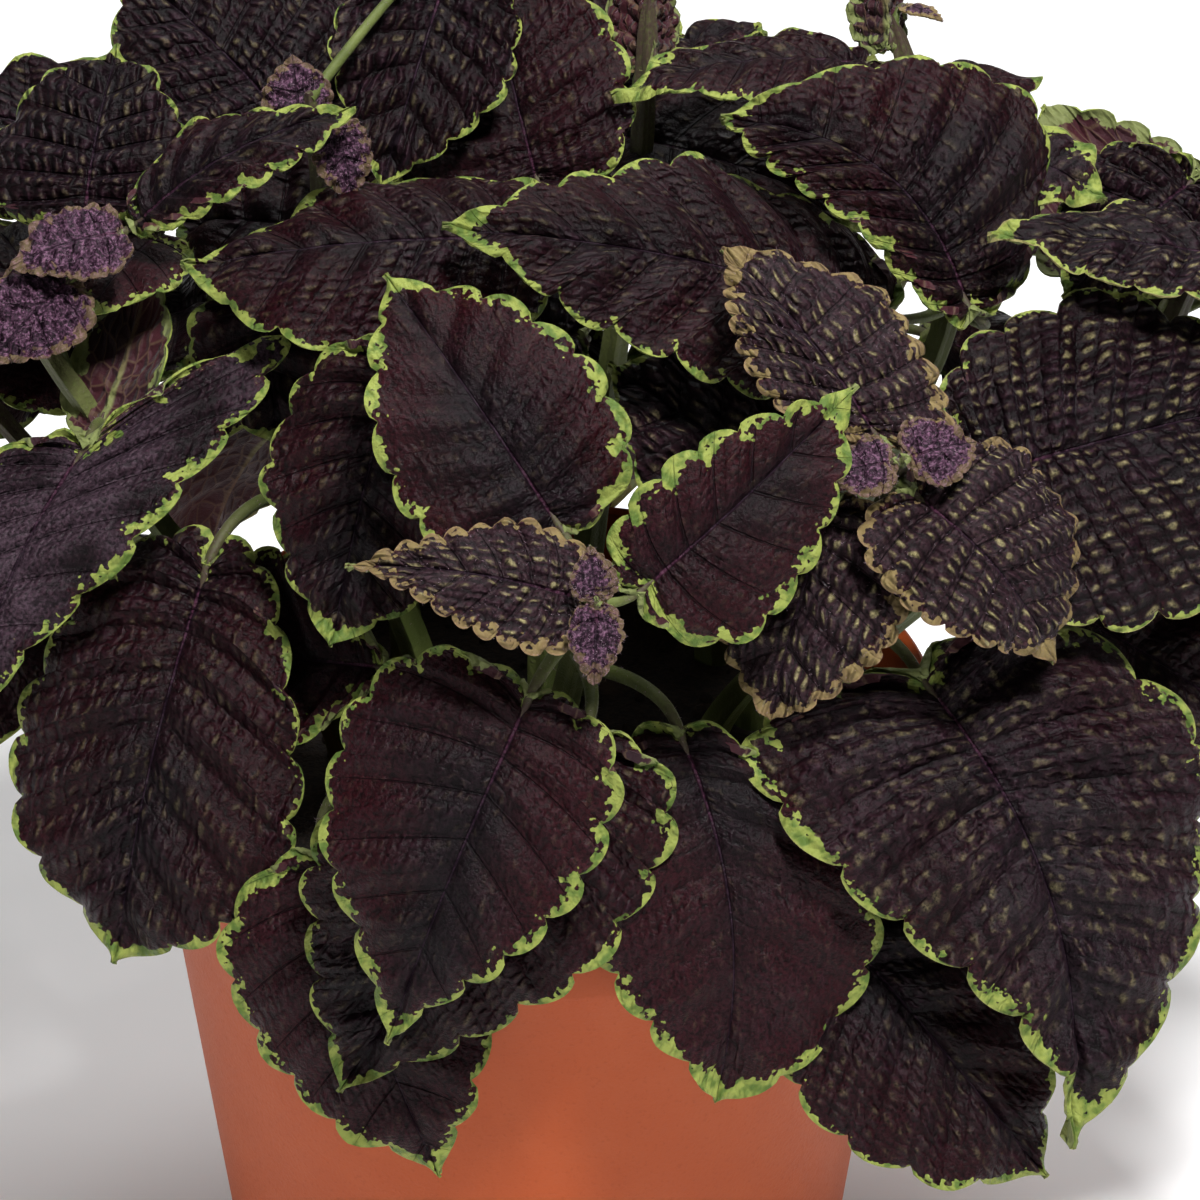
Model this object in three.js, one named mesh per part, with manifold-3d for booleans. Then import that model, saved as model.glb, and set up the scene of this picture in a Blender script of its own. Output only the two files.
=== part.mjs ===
// Coleus in a plastic pot: dark scalloped leaves on square stems, one solid per leafy shoot.
// Millimetres, +Z up, the middle of the pot's underside at the origin, the front of the plant toward -Y.
import * as THREE from "three";
import { mergeVertices } from "three/addons/utils/BufferGeometryUtils.js";
import Module from "manifold-3d";

const wasm = await Module();
wasm.setup();

// ---- driving sizes ----
const POT = {
  height: 150,
  rimRadius: 85, // outside of the collar
  baseRadius: 64,
  wallTop: 81, // outside of the wall just under the collar
  wall: 2.2,
  floor: 3,
  collar: 22,
  lip: 3.4, // width of the rolled rim seen from above
  round: 1.2, // corners of the foot and the collar
  step: 3, // height of the slope inside, from the collar to the wall
  segments: 40,
  drainSides: 12,
  drainRadius: 4,
  drainCircle: 40,
  drains: 4,
};
const SOIL = {
  edge: 134.5, // height at the pot's wall
  middle: 138,
  dome: 0.55, // share of the radius that lies nearly level
  segments: 30, // fewer than the pot's, so the clearance below also covers the flats
  clear: 0.65,
  holeClear: 0.3,
  plugDepth: 22,
  holeSides: 8,
};
const STEM = { foot: 3.9, tip: 2.1, upright: 6, sides: 4, rings: 6 }; // square stems: radius to the corners
const STALK = {
  node: 1.9, end: 1.2, steps: 3, // radius at the stem and at the blade
  small: 0.62, fullWidth: 50, least: 0.75, most: 1.1, // share of that radius by the leaf's width
  below: 8, lead: 0.25, pull: 0.3, topNode: 0.93, // where it leaves the stem, and how it bends
};
const BLADE = { thick: 0.85, midColumn: 0.55, wide: 36, steps: 4, veinLead: 1.9, veinSweep: 0.03 };
const MARGIN = {
  lobeEnd: 0.4, lobeSkew: 0.62, spacing: 1.6,
  toothDepth: 0.034, toothSkew: 0.8, toothRound: 0.6, baseFade: 0.05, tipFade: 0.2,
};
const FRONT = { perUnit: 0.2114, rimX: 535, rimY: 697, middle: 600, eye: 1400, pitch: 30 };

// ---- positions on the front sheet ----
// Leaves that face the front are laid out on a 1200 unit front view taken 30 degrees down:
// x to the right, y down, near = mm toward the viewer. The rim's centre is at (rimX, rimY).
const rad = THREE.MathUtils.degToRad;
const v3 = (x, y, z) => new THREE.Vector3(x, y, z);
const SIN = Math.sin(rad(FRONT.pitch)), COS = Math.cos(rad(FRONT.pitch));
const turned = (across, up, near) => v3(across, up * SIN - near * COS, up * COS + near * SIN);
function at([x, y, near]) {
  const unit = FRONT.perUnit * (1 - near / FRONT.eye);
  const across = (FRONT.middle - FRONT.rimX) * FRONT.perUnit + (x - FRONT.middle) * unit;
  const up = (FRONT.rimY - FRONT.middle) * FRONT.perUnit + (FRONT.middle - y) * unit;
  return turned(across, up, near).add(v3(0, 0, POT.height));
}

// ---- shoots: the way each stem runs, from its foot in the soil to its tip ----
const shoots = {
  front: [[4, -28, 137], [5, -34, 160], [9, -58, 195], [12, -84, 220], [13, -98, 230]],
  right: [[34, -22, 137], [38, -27, 160], [55, -45, 195], [70, -62, 232], [73, -66, 243]],
  upperLeft: [[-22, 8, 137], [-26, 8, 160], [-42, 6, 205], [-47, 4, 235], [-43, 7, 265], [-45, 5, 289]],
  left: [
    [-40, -10, 137], [-46, -12, 160], [-76, -16, 200], [-91, -15, 228], [-99, -16, 245], [-93, -19, 262],
  ],
  upperRight: [[46, 12, 137], [52, 12, 160], [72, 12, 200], [86, 16, 235], [83, 38, 258], [75, 62, 279]],
  top: [[8, 24, 137], [10, 26, 160], [16, 32, 210], [22, 38, 255], [24, 50, 290]],
  farRight: [[60, 0, 137], [66, 1, 158], [92, 8, 180], [128, 16, 222], [141, 20, 253]],
  middle: [[2, 2, 137], [2, 0, 165], [4, -4, 215], [6, -3, 263]],
  lowLeft: [[-16, -26, 137], [-18, -29, 158], [-26, -38, 182]],
  backLeft: [[-28, 36, 137], [-31, 40, 160], [-52, 62, 205], [-70, 80, 256]],
  back: [[4, 50, 137], [4, 55, 160], [4, 80, 200], [4, 108, 240]],
  backRight: [[38, 40, 137], [42, 44, 160], [68, 68, 195], [95, 92, 236]],
  farLeft: [[-52, 12, 137], [-60, 14, 158], [-92, 22, 180], [-122, 34, 210]],
};

// ---- leaves ----
const SHAPE = {
  arch: 0.08, fold: 5, curl: 20, teeth: 8, twist: 0, heart: 0.06,
  round: 0.6, point: 1.15, // how the margin leaves the base and how it comes to the tip
  fuller: 0, lopsided: 0, lean: 0, skew: 0, bow: 0, // how one side of the midrib differs from the other
};
const hidden = { teeth: 5, plain: true }; // leaves at the sides and the back, set by rule
const tiny = { teeth: 4, small: true, plain: true }; // young leaves at a stem's tip
const RULE = { width: 0.66, stalk: 6, stalkShare: 0.16, rise: 0.35 }; // width and stalk from the length

// Leaves laid out by hand: base and tip of the blade on the front sheet, face = the way the upper side
// looks (across, up, near), width in mm.
const frontLeaves = {
  front: {
    tipUp: { base: [596, 598, 130], tip: [590, 545, 133], face: [0, -0.2, 1], width: 9, ...tiny, curl: 0 },
    tipDown: {
      base: [597, 606, 130], tip: [594, 686, 128], face: [0, 0.1, 1], width: 10,
      ...tiny, arch: 0.12,
    },
    left: {
      base: [583, 599, 123], tip: [346, 567, 118], face: [0, 0.45, 0.9], width: 25,
      arch: 0.1, fold: 10, curl: 30, round: 0.5, point: 1.6,
    },
    right: {
      base: [640, 592, 121], tip: [857, 385, 112], face: [0.25, -0.1, 1], width: 34,
      arch: 0.06, fold: 12, lean: -0.16, point: 1.35,
    },
    up: {
      base: [562, 530, 114], tip: [386, 276, 100], face: [0.15, -0.1, 1], width: 44,
      arch: 0.1, fold: 8,
    },
    down: {
      base: [530, 696, 112], tip: [388, 1042, 90], face: [-0.1, 0.15, 1], width: 55,
      teeth: 9, curl: 25, point: 1.4, lean: -0.14,
    },
    lowLeft: {
      base: [582, 738, 92], tip: [342, 1087, 66], face: [0.1, 0.1, 1], width: 58,
      arch: 0.06, teeth: 9, lean: -0.08, skew: 0.22,
    },
    lowRight: {
      base: [680, 734, 85], tip: [714, 1101, 65], face: [0.08, 0.15, 1], width: 56,
      teeth: 8, round: 1, point: 1.05, fuller: 0.32, bow: 0.08,
    },
  },
  right: {
    tipLeft: { base: [893, 462, 108], tip: [826, 479, 106], face: [0, 0.5, 0.9], width: 13, ...tiny },
    tipRight: { base: [908, 458, 108], tip: [977, 443, 100], face: [0, 0.4, 0.9], width: 15, ...tiny },
    down: {
      base: [913, 492, 104], tip: [1052, 662, 88], face: [0.1, 0.5, 0.9], width: 46,
      arch: 0.14, curl: 35, heart: 0.1, lean: 0.22, skew: -0.2,
    },
    up: {
      base: [880, 440, 102], tip: [722, 250, 86], face: [0.2, 0.35, 0.9], width: 33,
      arch: 0.1, curl: 25, lean: -0.2, point: 1.05, fuller: -0.25, lopsided: -0.8, skew: -0.35,
    },
    out: {
      base: [975, 478, 80], tip: [1325, 396, 44], face: [0.2, 0.3, 0.9], width: 66,
      curl: 25, teeth: 9, lean: -0.1,
    },
    in: {
      base: [835, 500, 96], tip: [773, 718, 90], face: [-0.25, 0.3, 0.9], width: 40,
      arch: 0.1, curl: 25, point: 0.95,
    },
    big: {
      base: [920, 677, 80], tip: [1066, 1142, 62], face: [0.15, 0.3, 0.9], width: 80,
      arch: 0.1, curl: 25, teeth: 9, heart: 0.1, round: 0.47, point: 1.45, fuller: 0.3,
      lean: 0.02, bow: 0.09,
    },
    low: {
      base: [802, 890, 63], tip: [1043, 1175, 50], face: [0.1, 0.2, 1], width: 45,
      arch: 0.06, teeth: 7, round: 0.8, point: 0.95, lean: -0.2,
    },
  },
  upperLeft: {
    tipUp: { base: [300, 120, 62], tip: [292, 54, 63], face: [0, 0.3, 1], width: 14, ...tiny },
    tipDown: { base: [335, 125, 66], tip: [352, 201, 60], face: [0.2, 0.3, 1], width: 12, ...tiny },
    right: {
      base: [450, -36, 34], tip: [380, 190, 48], face: [0.1, 0.25, 0.9], width: 36,
      fold: 6, round: 0.7, point: 1.2,
    },
    back: { base: [312, 150, 20], tip: [130, -28, 0], face: [-0.1, 0.6, 0.8], width: 58 },
    under: {
      base: [322, 232, 50], tip: [180, 226, 36], face: [-0.1, 0.5, 0.8], width: 38,
      teeth: 5, arch: 0.1,
    },
    inner: { base: [262, 288, 42], tip: [280, 450, 42], face: [-0.1, 0.5, 0.8], width: 31, teeth: 5 },
    low: {
      base: [207, 566, 58], tip: [117, 960, 46], face: [-0.2, 0.25, 0.9], width: 60,
      fold: 7, curl: 18, teeth: 9, heart: 0.14, round: 1.1, point: 1, fuller: 0.12, lean: 0.03,
    },
  },
  left: {
    tipOut: { base: [122, 232, 74], tip: [8, 270, 78], face: [0, 0.7, 0.7], width: 21, ...tiny },
    tipDown: { base: [70, 280, 76], tip: [-10, 365, 78], face: [0, 0.5, 0.8], width: 22, ...tiny },
    big: {
      base: [86, 445, 70], tip: [-38, 775, 66], face: [-0.1, 0.25, 0.95], width: 43,
      fold: 2, teeth: 10, heart: 0.25, lopsided: 0.8, round: 0.55, point: 2, skew: 0.5,
      bow: -0.05,
    },
    right: {
      base: [135, 225, 64], tip: [356, 110, 72], face: [0, 0.6, 0.8], width: 22,
      arch: 0.12, fold: 2, curl: 25, heart: 0, lean: 0.25, fuller: -0.4,
    },
    up: {
      base: [84, 218, 52], tip: [118, 50, 30], face: [-0.1, 0.5, 0.8], width: 44,
      fold: 2, curl: 25, lean: 0.12,
    },
    red: {
      base: [98, 434, 56], tip: [152, 262, 50], face: [0.5, 0.1, -0.8], width: 22,
      teeth: 5, arch: 0.05, fold: 0,
    },
    curl: {
      base: [160, 234, 52], tip: [85, 320, 68], face: [-0.3, 0.3, 0.9], width: 22,
      teeth: 5, fold: 0,
    },
    behind: { base: [108, 370, 36], tip: [-60, 352, 26], face: [-0.1, 0.5, 0.8], width: 24, teeth: 5 },
  },
  upperRight: {
    in: { base: [880, 318, 48], tip: [441, 230, 84], face: [0, 0.45, 0.9], width: 46, curl: 25, teeth: 9 },
    up: {
      base: [970, 311, 58], tip: [721, 121, 60], face: [0.1, 0.3, 0.9], width: 49,
      teeth: 9, heart: 0.04, point: 0.9, lean: -0.5, skew: -0.3, bow: -0.17,
    },
    under: {
      base: [792, 498, 58], tip: [608, 366, 64], face: [0, 0.4, 0.9], width: 41,
      teeth: 7, arch: 0.06,
    },
    far: { base: [870, 64, 26], tip: [612, 98, 42], face: [0, 0.9, 0.5], width: 29, lean: 0.2 },
    lime: { base: [1010, 150, 36], tip: [1104, 203, 42], face: [0.3, 0.4, 0.8], width: 22, ...tiny },
    bud: { base: [890, 46, 14], tip: [888, -62, 16], face: [-0.3, 0, -0.9], width: 17, ...tiny, fold: 55 },
    budBlade: { base: [904, 6, 10], tip: [943, 22, 14], face: [0.1, 0.9, 0.4], width: 7, ...tiny },
  },
  top: {
    rightFar: { base: [672, 47, -2], tip: [766, 37, 4], face: [0.1, 0.9, 0.4], width: 24, teeth: 5 },
    under: { base: [600, 132, 12], tip: [868, 226, 24], face: [0, 0.6, 0.8], width: 44, teeth: 5 },
    leftFar: { base: [630, 140, -6], tip: [500, -40, -22], face: [-0.2, 0.5, 0.8], width: 46, teeth: 5 },
    bud: { base: [654, 64, 26], tip: [660, -58, 26], face: [-0.3, 0, -0.9], width: 22, ...tiny, fold: 55 },
  },
  farRight: {
    up: {
      base: [1218, 268, 16], tip: [1043, 106, 4], face: [0.1, -0.2, -0.9], width: 38,
      arch: 0.1, lean: -0.3, point: 0.9,
    },
    in: { base: [1195, 178, 20], tip: [1064, 300, 34], face: [0.1, 0.5, 0.8], width: 38 },
    tip: {
      base: [1258, 262, 52], tip: [988, 239, 70], face: [0.1, 0.8, 0.6], width: 30,
      arch: 0.04, fold: 2, teeth: 7,
    },
    low: { base: [1050, 600, 46], tip: [1330, 800, 22], face: [0.4, 0.3, 0.9], width: 56, teeth: 7 },
    under: { base: [1100, 540, 24], tip: [1250, 760, 2], face: [0.3, 0.1, 0.9], width: 46, teeth: 5 },
  },
  middle: {
    up: {
      base: [540, 192, 38], tip: [480, -70, 8], face: [-0.15, 0.25, 0.9], width: 50,
      arch: 0.1, lean: 0.1,
    },
    left: {
      base: [545, 238, 66], tip: [184, 269, 68], face: [-0.1, 0.6, 0.8], width: 47,
      arch: 0.05, fold: -8, lean: 0.04, fuller: 0.25,
    },
    down: {
      base: [398, 356, 86], tip: [333, 643, 80], face: [-0.2, 0.1, 1], width: 44,
      arch: 0.06, point: 0.95, lean: 0.12,
    },
    in: { base: [580, 337, 60], tip: [399, 314, 60], face: [-0.1, 0.5, 0.8], width: 36, teeth: 5 },
  },
  lowLeft: {
    side: {
      base: [388, 668, 62], tip: [178, 650, 38], face: [-0.1, 0.1, 1], width: 42,
      curl: 10, round: 1.2, point: 0.9, heart: 0,
    },
    down: { base: [322, 858, 70], tip: [440, 1176, 57], face: [-0.3, 0.1, 1], width: 52, curl: 25 },
  },
  backLeft: {
    leftFar: { base: [120, 160, 0], tip: [-60, 108, -20], face: [-0.1, 0.5, 0.8], width: 42, teeth: 5 },
  },
};

// Leaves set by rule: they grow from the stem `below` mm under its tip, toward heading (degrees,
// 0 = right, 90 = back), drooping, length in mm.
const ruleLeaves = {
  left: {
    out: { below: 26, heading: 180, droop: 35, length: 62 },
    backOut: { below: 30, heading: 108, droop: 5, length: 57 },
  },
  upperRight: {
    back: { below: 34, heading: 85, droop: 20, length: 58 },
  },
  top: {
    back: { below: 58, heading: 95, droop: 30, length: 54 },
    backLeft: { below: 84, heading: 186, droop: 35, length: 46 },
    backRight: { below: 68, heading: 30, droop: 15, length: 58 },
  },
  farRight: {
    out: { below: 22, heading: 353, droop: 40, length: 66 },
    back: { below: 34, heading: 70, droop: 30, length: 66 },
    side: { below: 50, heading: 330, droop: 50, length: 70 },
    deep: { below: 84, heading: 45, droop: 40, length: 74 },
  },
  backLeft: {
    tipA: { below: 2, heading: 60, droop: -20, length: 22, ...tiny },
    tipB: { below: 2, heading: 240, droop: -20, length: 22, ...tiny },
    up: { below: 14, heading: 80, droop: 10, length: 42 },
    out: { below: 34, heading: 145, droop: 40, length: 66 },
    side: { below: 56, heading: 182, droop: 30, length: 72 },
    low: { below: 88, heading: 125, droop: 55, length: 78 },
    in: { below: 36, heading: 320, droop: 15, length: 56 },
  },
  back: {
    tipLeft: { below: 2, heading: 170, droop: -20, length: 22, ...tiny },
    tipRight: { below: 2, heading: 350, droop: -20, length: 22, ...tiny },
    upLeft: { below: 14, heading: 200, droop: 5, length: 42 },
    upRight: { below: 14, heading: 20, droop: 5, length: 42 },
    down: { below: 34, heading: 92, droop: 45, length: 66 },
    sideLeft: { below: 60, heading: 150, droop: 30, length: 78 },
    sideRight: { below: 60, heading: 30, droop: 30, length: 78 },
    low: { below: 84, heading: 92, droop: 55, length: 78 },
    in: { below: 50, heading: 264, droop: 12, length: 48 },
  },
  backRight: {
    tipA: { below: 2, heading: 120, droop: -20, length: 22, ...tiny },
    tipB: { below: 2, heading: 300, droop: -20, length: 22, ...tiny },
    up: { below: 14, heading: 110, droop: 10, length: 42 },
    out: { below: 32, heading: 40, droop: 40, length: 66 },
    side: { below: 54, heading: 350, droop: 30, length: 72 },
    low: { below: 84, heading: 62, droop: 55, length: 78 },
    in: { below: 34, heading: 210, droop: 10, length: 54 },
  },
  farLeft: {
    tipA: { below: 2, heading: 90, droop: -10, length: 20, ...tiny },
    tipB: { below: 2, heading: 270, droop: -10, length: 20, ...tiny },
    out: { below: 22, heading: 180, droop: 45, length: 60 },
    back: { below: 44, heading: 130, droop: 40, length: 68 },
    front: { below: 44, heading: 235, droop: 45, length: 64 },
    deep: { below: 72, heading: 165, droop: 45, length: 66 },
  },
};

// The stem's line: straight up out of its hole, then through the shoot's points.
function stemLine(shoot) {
  const [foot, ...rest] = shoots[shoot].map((p) => v3(...p));
  const low = foot.clone().setZ(foot.z - SOIL.plugDepth + SOIL.holeClear);
  const above = foot.clone().setZ(foot.z + STEM.upright);
  const curve = new THREE.CatmullRomCurve3([foot, above, ...rest], false, "centripetal");
  const count = STEM.rings;
  return [low, ...Array.from({ length: count + 1 }, (_, i) => curve.getPoint(i / count))];
}
function stemPoint(shoot, below) {
  const line = stemLine(shoot).reverse();
  let i = 0;
  let left = below;
  while (i < line.length - 2 && line[i].distanceTo(line[i + 1]) < left) {
    left -= line[i].distanceTo(line[i + 1]);
    i++;
  }
  return line[i].clone().lerp(line[i + 1], left / line[i].distanceTo(line[i + 1]));
}

const leaves = [];
for (const [shoot, own] of Object.entries(frontLeaves))
  for (const leaf of Object.values(own)) {
    const placed = { base: at(leaf.base), tip: at(leaf.tip), face: turned(...leaf.face) };
    leaves.push({ ...SHAPE, ...leaf, ...placed, shoot });
  }
for (const [shoot, own] of Object.entries(ruleLeaves))
  for (const { below, heading, droop, length, ...shape } of Object.values(own)) {
    const out = v3(Math.cos(rad(heading)), Math.sin(rad(heading)), 0);
    const stalk = RULE.stalk + RULE.stalkShare * length;
    const base = stemPoint(shoot, below).addScaledVector(out, stalk).add(v3(0, 0, stalk * RULE.rise));
    const way = out.clone().multiplyScalar(Math.cos(rad(droop))).add(v3(0, 0, -Math.sin(rad(droop))));
    const face = out.clone().multiplyScalar(Math.sin(rad(droop))).add(v3(0, 0, Math.cos(rad(droop))));
    const tip = base.clone().addScaledVector(way, length);
    leaves.push({ ...SHAPE, ...hidden, ...shape, shoot, base, tip, face, width: length * RULE.width });
  }

// ---- leaf form ----
// Half the outline as (along, aside) pairs for a leaf of length 1, evenly spaced along the margin.
function outline(ratio, heart, round, point, count = 200) {
  const M = MARGIN, raw = [];
  const bulge = (u) => u ** round * (1 - u) ** point;
  const widest = bulge(round / (round + point));
  for (let i = 0; i <= count; i++) {
    const u = (i / count) ** M.spacing;
    const lobe = heart * Math.sin(Math.PI * Math.min(1, (u / M.lobeEnd) ** M.lobeSkew));
    raw.push([u - lobe, (bulge(u) / widest) * (ratio / 2)]);
  }
  const run = [0];
  for (let i = 1; i <= count; i++)
    run.push(run[i - 1] + Math.hypot(raw[i][0] - raw[i - 1][0], raw[i][1] - raw[i - 1][1]));
  return (s) => {
    const goal = THREE.MathUtils.clamp(s, 0, 1) * run[count];
    let i = 1;
    while (i < count && run[i] < goal) i++;
    const part = (goal - run[i - 1]) / (run[i] - run[i - 1]);
    return [0, 1].map((k) => raw[i - 1][k] + (raw[i][k] - raw[i - 1][k]) * part);
  };
}
const clamp = THREE.MathUtils.clamp;
function tooth(s, count) {
  const fade = clamp(s / MARGIN.baseFade, 0, 1) * clamp((1 - s) / MARGIN.tipFade, 0, 1);
  const phase = ((s * count) % 1) ** MARGIN.toothSkew;
  return MARGIN.toothDepth * fade * Math.abs(Math.sin(Math.PI * phase)) ** MARGIN.toothRound;
}

const ARCH_STRETCH = 2.2; // an arched midrib is longer than its chord by this times arch squared
// The blade's map: s runs along the margin 0..1, t across -1..1; returns the point `lift` mm above the
// middle of the blade.
function bladeMap(leaf) {
  const chord = leaf.tip.clone().sub(leaf.base);
  const span = chord.length();
  const length = span * (1 + ARCH_STRETCH * leaf.arch ** 2);
  const edges = [-1, 1].map((hand) => outline(
    (leaf.width / length) * (1 + leaf.lean * hand), leaf.heart * (1 + leaf.lopsided * hand),
    leaf.round, leaf.point * (1 - leaf.fuller * hand)));
  const along = chord.clone().normalize();
  const face = leaf.face.clone().addScaledVector(along, -leaf.face.dot(along)).normalize();
  const side = face.clone().cross(along);
  const half = leaf.width / 2;
  return (s, t, lift) => {
    const a = Math.abs(t), hand = Math.sign(t), edge = edges[t > 0 ? 1 : 0];
    const [x, y] = edge(s);
    const [x1, y1] = edge(Math.min(1, s + 0.002)), [x0, y0] = edge(Math.max(0, s - 0.002));
    const run = Math.hypot(x1 - x0, y1 - y0) + 1e-9;
    const bump = tooth(s, leaf.teeth);
    const xo = (x - ((y1 - y0) / run) * bump) * length, yo = (y + ((x1 - x0) / run) * bump) * length;
    const forward = s ** BLADE.veinLead * length; // where the side vein that ends here leaves the midrib
    const Y = yo * a;
    const X = forward * (1 - a) + xo * a - leaf.skew * hand * Y
      - BLADE.veinSweep * length * Math.sin(Math.PI * a) * (1 - s);
    const k = X / length, kc = clamp(k, 0, 1.1);
    const bulge = 4 * kc * (1 - kc) + 4 * Math.min(0, k), rise = leaf.arch * bulge;
    const slope = Math.atan(4 * leaf.arch * (1 - 2 * kc));
    const up = face.clone().multiplyScalar(Math.cos(slope)).addScaledVector(along, -Math.sin(slope));
    const turn = rad(leaf.twist) * (kc - 0.5);
    const aside = side.clone().multiplyScalar(Math.cos(turn)).addScaledVector(up, Math.sin(turn));
    const above = up.multiplyScalar(Math.cos(turn)).addScaledVector(side, -Math.sin(turn));
    const tilt = rad(leaf.fold) - (rad(leaf.curl) * Y) / half / 2;
    const lean = rad(leaf.fold) - (rad(leaf.curl) * Y) / half; // of the surface itself
    return leaf.base.clone()
      .addScaledVector(along, k * span)
      .addScaledVector(face, rise * span)
      .addScaledVector(side, leaf.bow * bulge * span)
      .addScaledVector(aside, hand * (Y * Math.cos(tilt) - lift * Math.sin(lean)))
      .addScaledVector(above, Y * Math.sin(tilt) + lift * (t ? Math.cos(lean) : 1));
  };
}

// A closed solid from corner points and triangles.
function solid(points, triangles) {
  return new wasm.Manifold(new wasm.Mesh({
    numProp: 3,
    vertProperties: Float32Array.from(points.flatMap((p) => [p.x, p.y, p.z])),
    triVerts: Uint32Array.from(triangles.flat()),
  }));
}

// Triangles between two rows of points, each a list of { s, id }.
function strip(a, b) {
  const faces = [];
  let i = 0, j = 0;
  while (i < a.length - 1 || j < b.length - 1) {
    const moveA = j === b.length - 1 || (i < a.length - 1 && a[i + 1].s <= b[j + 1].s);
    const tri = moveA ? [a[i].id, a[i + 1].id, b[j].id] : [a[i].id, b[j + 1].id, b[j].id];
    if (moveA) i++; else j++;
    if (new Set(tri).size === 3) faces.push(tri);
  }
  return faces;
}

// A leaf on its stalk, one closed surface: a four sided stalk whose end ring opens into the blade.
// The blade has rows of points from the left margin over the midrib to the right one, alike on both faces.
function leafBody(leaf) {
  const map = bladeMap(leaf);
  const points = [];
  const put = (p) => points.push(p) - 1;
  // stalk rings, from the stem to the blade: left, top, right, under
  const line = stalkLine(leaf);
  const size = leaf.small ? STALK.small : clamp(leaf.width / STALK.fullWidth, STALK.least, STALK.most);
  const along = leaf.tip.clone().sub(leaf.base).normalize();
  let up = leaf.face.clone().addScaledVector(along, -leaf.face.dot(along)).normalize();
  const rings = [];
  for (let i = line.length - 1; i >= 0; i--) {
    const way = line[i + 1] ? line[i + 1].clone().sub(line[Math.max(0, i - 1)]).normalize() : along;
    up = up.clone().addScaledVector(way, -up.dot(way)).normalize();
    const side = up.clone().cross(way);
    const r = THREE.MathUtils.lerp(STALK.node, STALK.end, i / (line.length - 1)) * size;
    rings.unshift([side.clone().multiplyScalar(-r), up.clone().multiplyScalar(r), side.multiplyScalar(r),
      up.clone().multiplyScalar(-r)].map((d) => put(line[i].clone().add(d))));
  }
  const [left, top, right, under] = rings[rings.length - 1];
  // blade rows
  const marginCount = 2 * leaf.teeth, steps = leaf.small ? 3 : BLADE.steps;
  const margin = Array.from({ length: marginCount - 1 }, (_, i) => (i + 1) / marginCount);
  const inner = Array.from({ length: steps - 1 }, (_, i) => (i + 1) / steps);
  const columns = leaf.plain || leaf.width < BLADE.wide ? [[-1, margin], [0, inner], [1, margin]]
    : [[-1, margin], [-BLADE.midColumn, inner], [0, inner], [BLADE.midColumn, inner], [1, margin]];
  const lift = (s, t, sign) => put(map(s, t, (sign * BLADE.thick) / 2));
  const face = (sign) => {
    const tip = { s: 1, id: lift(1, 0, sign) };
    const start = (t) => ({ s: 0, id: t === -1 ? left : t === 1 ? right : sign > 0 ? top : under });
    return columns.map(([t, list]) => [start(t), ...list.map((s) => ({ s, id: lift(s, t, sign) })), tip]);
  };
  const upper = face(1), lower = face(-1);
  const triangles = [];
  for (let r = 1; r < columns.length; r++) {
    triangles.push(...strip(upper[r - 1], upper[r]));
    triangles.push(...strip(lower[r - 1], lower[r]).map(([a, b, c]) => [a, c, b]));
  }
  const wall = (a, b, flip) => {
    for (let i = 1; i < a.length; i++)
      for (const [p, q, r] of [[a[i - 1].id, b[i - 1].id, a[i].id], [a[i].id, b[i - 1].id, b[i].id]])
        if (new Set([p, q, r]).size === 3) triangles.push(flip ? [p, r, q] : [p, q, r]);
  };
  wall(upper[0], lower[0], false);
  wall(upper[columns.length - 1], lower[columns.length - 1], true);
  for (let i = 1; i < rings.length; i++)
    for (let k = 0; k < 4; k++) {
      const a = rings[i - 1][k], b = rings[i - 1][(k + 1) % 4], c = rings[i][k], d = rings[i][(k + 1) % 4];
      triangles.push([a, c, b], [b, c, d]);
    }
  triangles.push([rings[0][0], rings[0][1], rings[0][2]], [rings[0][0], rings[0][2], rings[0][3]]);
  return solid(points, triangles);
}

// A stalk leaves the stem a little below its leaf and runs into the base of the midrib.
function stalkLine(leaf) {
  let node = null, best = Infinity;
  const line = stemLine(leaf.shoot);
  for (let i = 2; i < line.length; i++)
    for (let k = 1; k <= 10; k++) {
      const share = k === 10 && i === line.length - 1 ? STALK.topNode : k / 10;
      const p = line[i - 1].clone().lerp(line[i], share);
      const gap = p.distanceTo(leaf.base) + Math.abs(leaf.base.z - STALK.below - p.z) / 2;
      if (gap < best) [node, best] = [p, gap];
    }
  const along = leaf.tip.clone().sub(leaf.base).normalize();
  const mid = leaf.base.clone().addScaledVector(along, -STALK.lead * node.distanceTo(leaf.base));
  mid.lerp(node, STALK.pull).multiplyScalar(2).sub(node.clone().lerp(leaf.base, 0.5));
  const curve = new THREE.QuadraticBezierCurve3(node, mid, leaf.base);
  return curve.getPoints(leaf.plain ? STALK.steps - 1 : STALK.steps);
}

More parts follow.
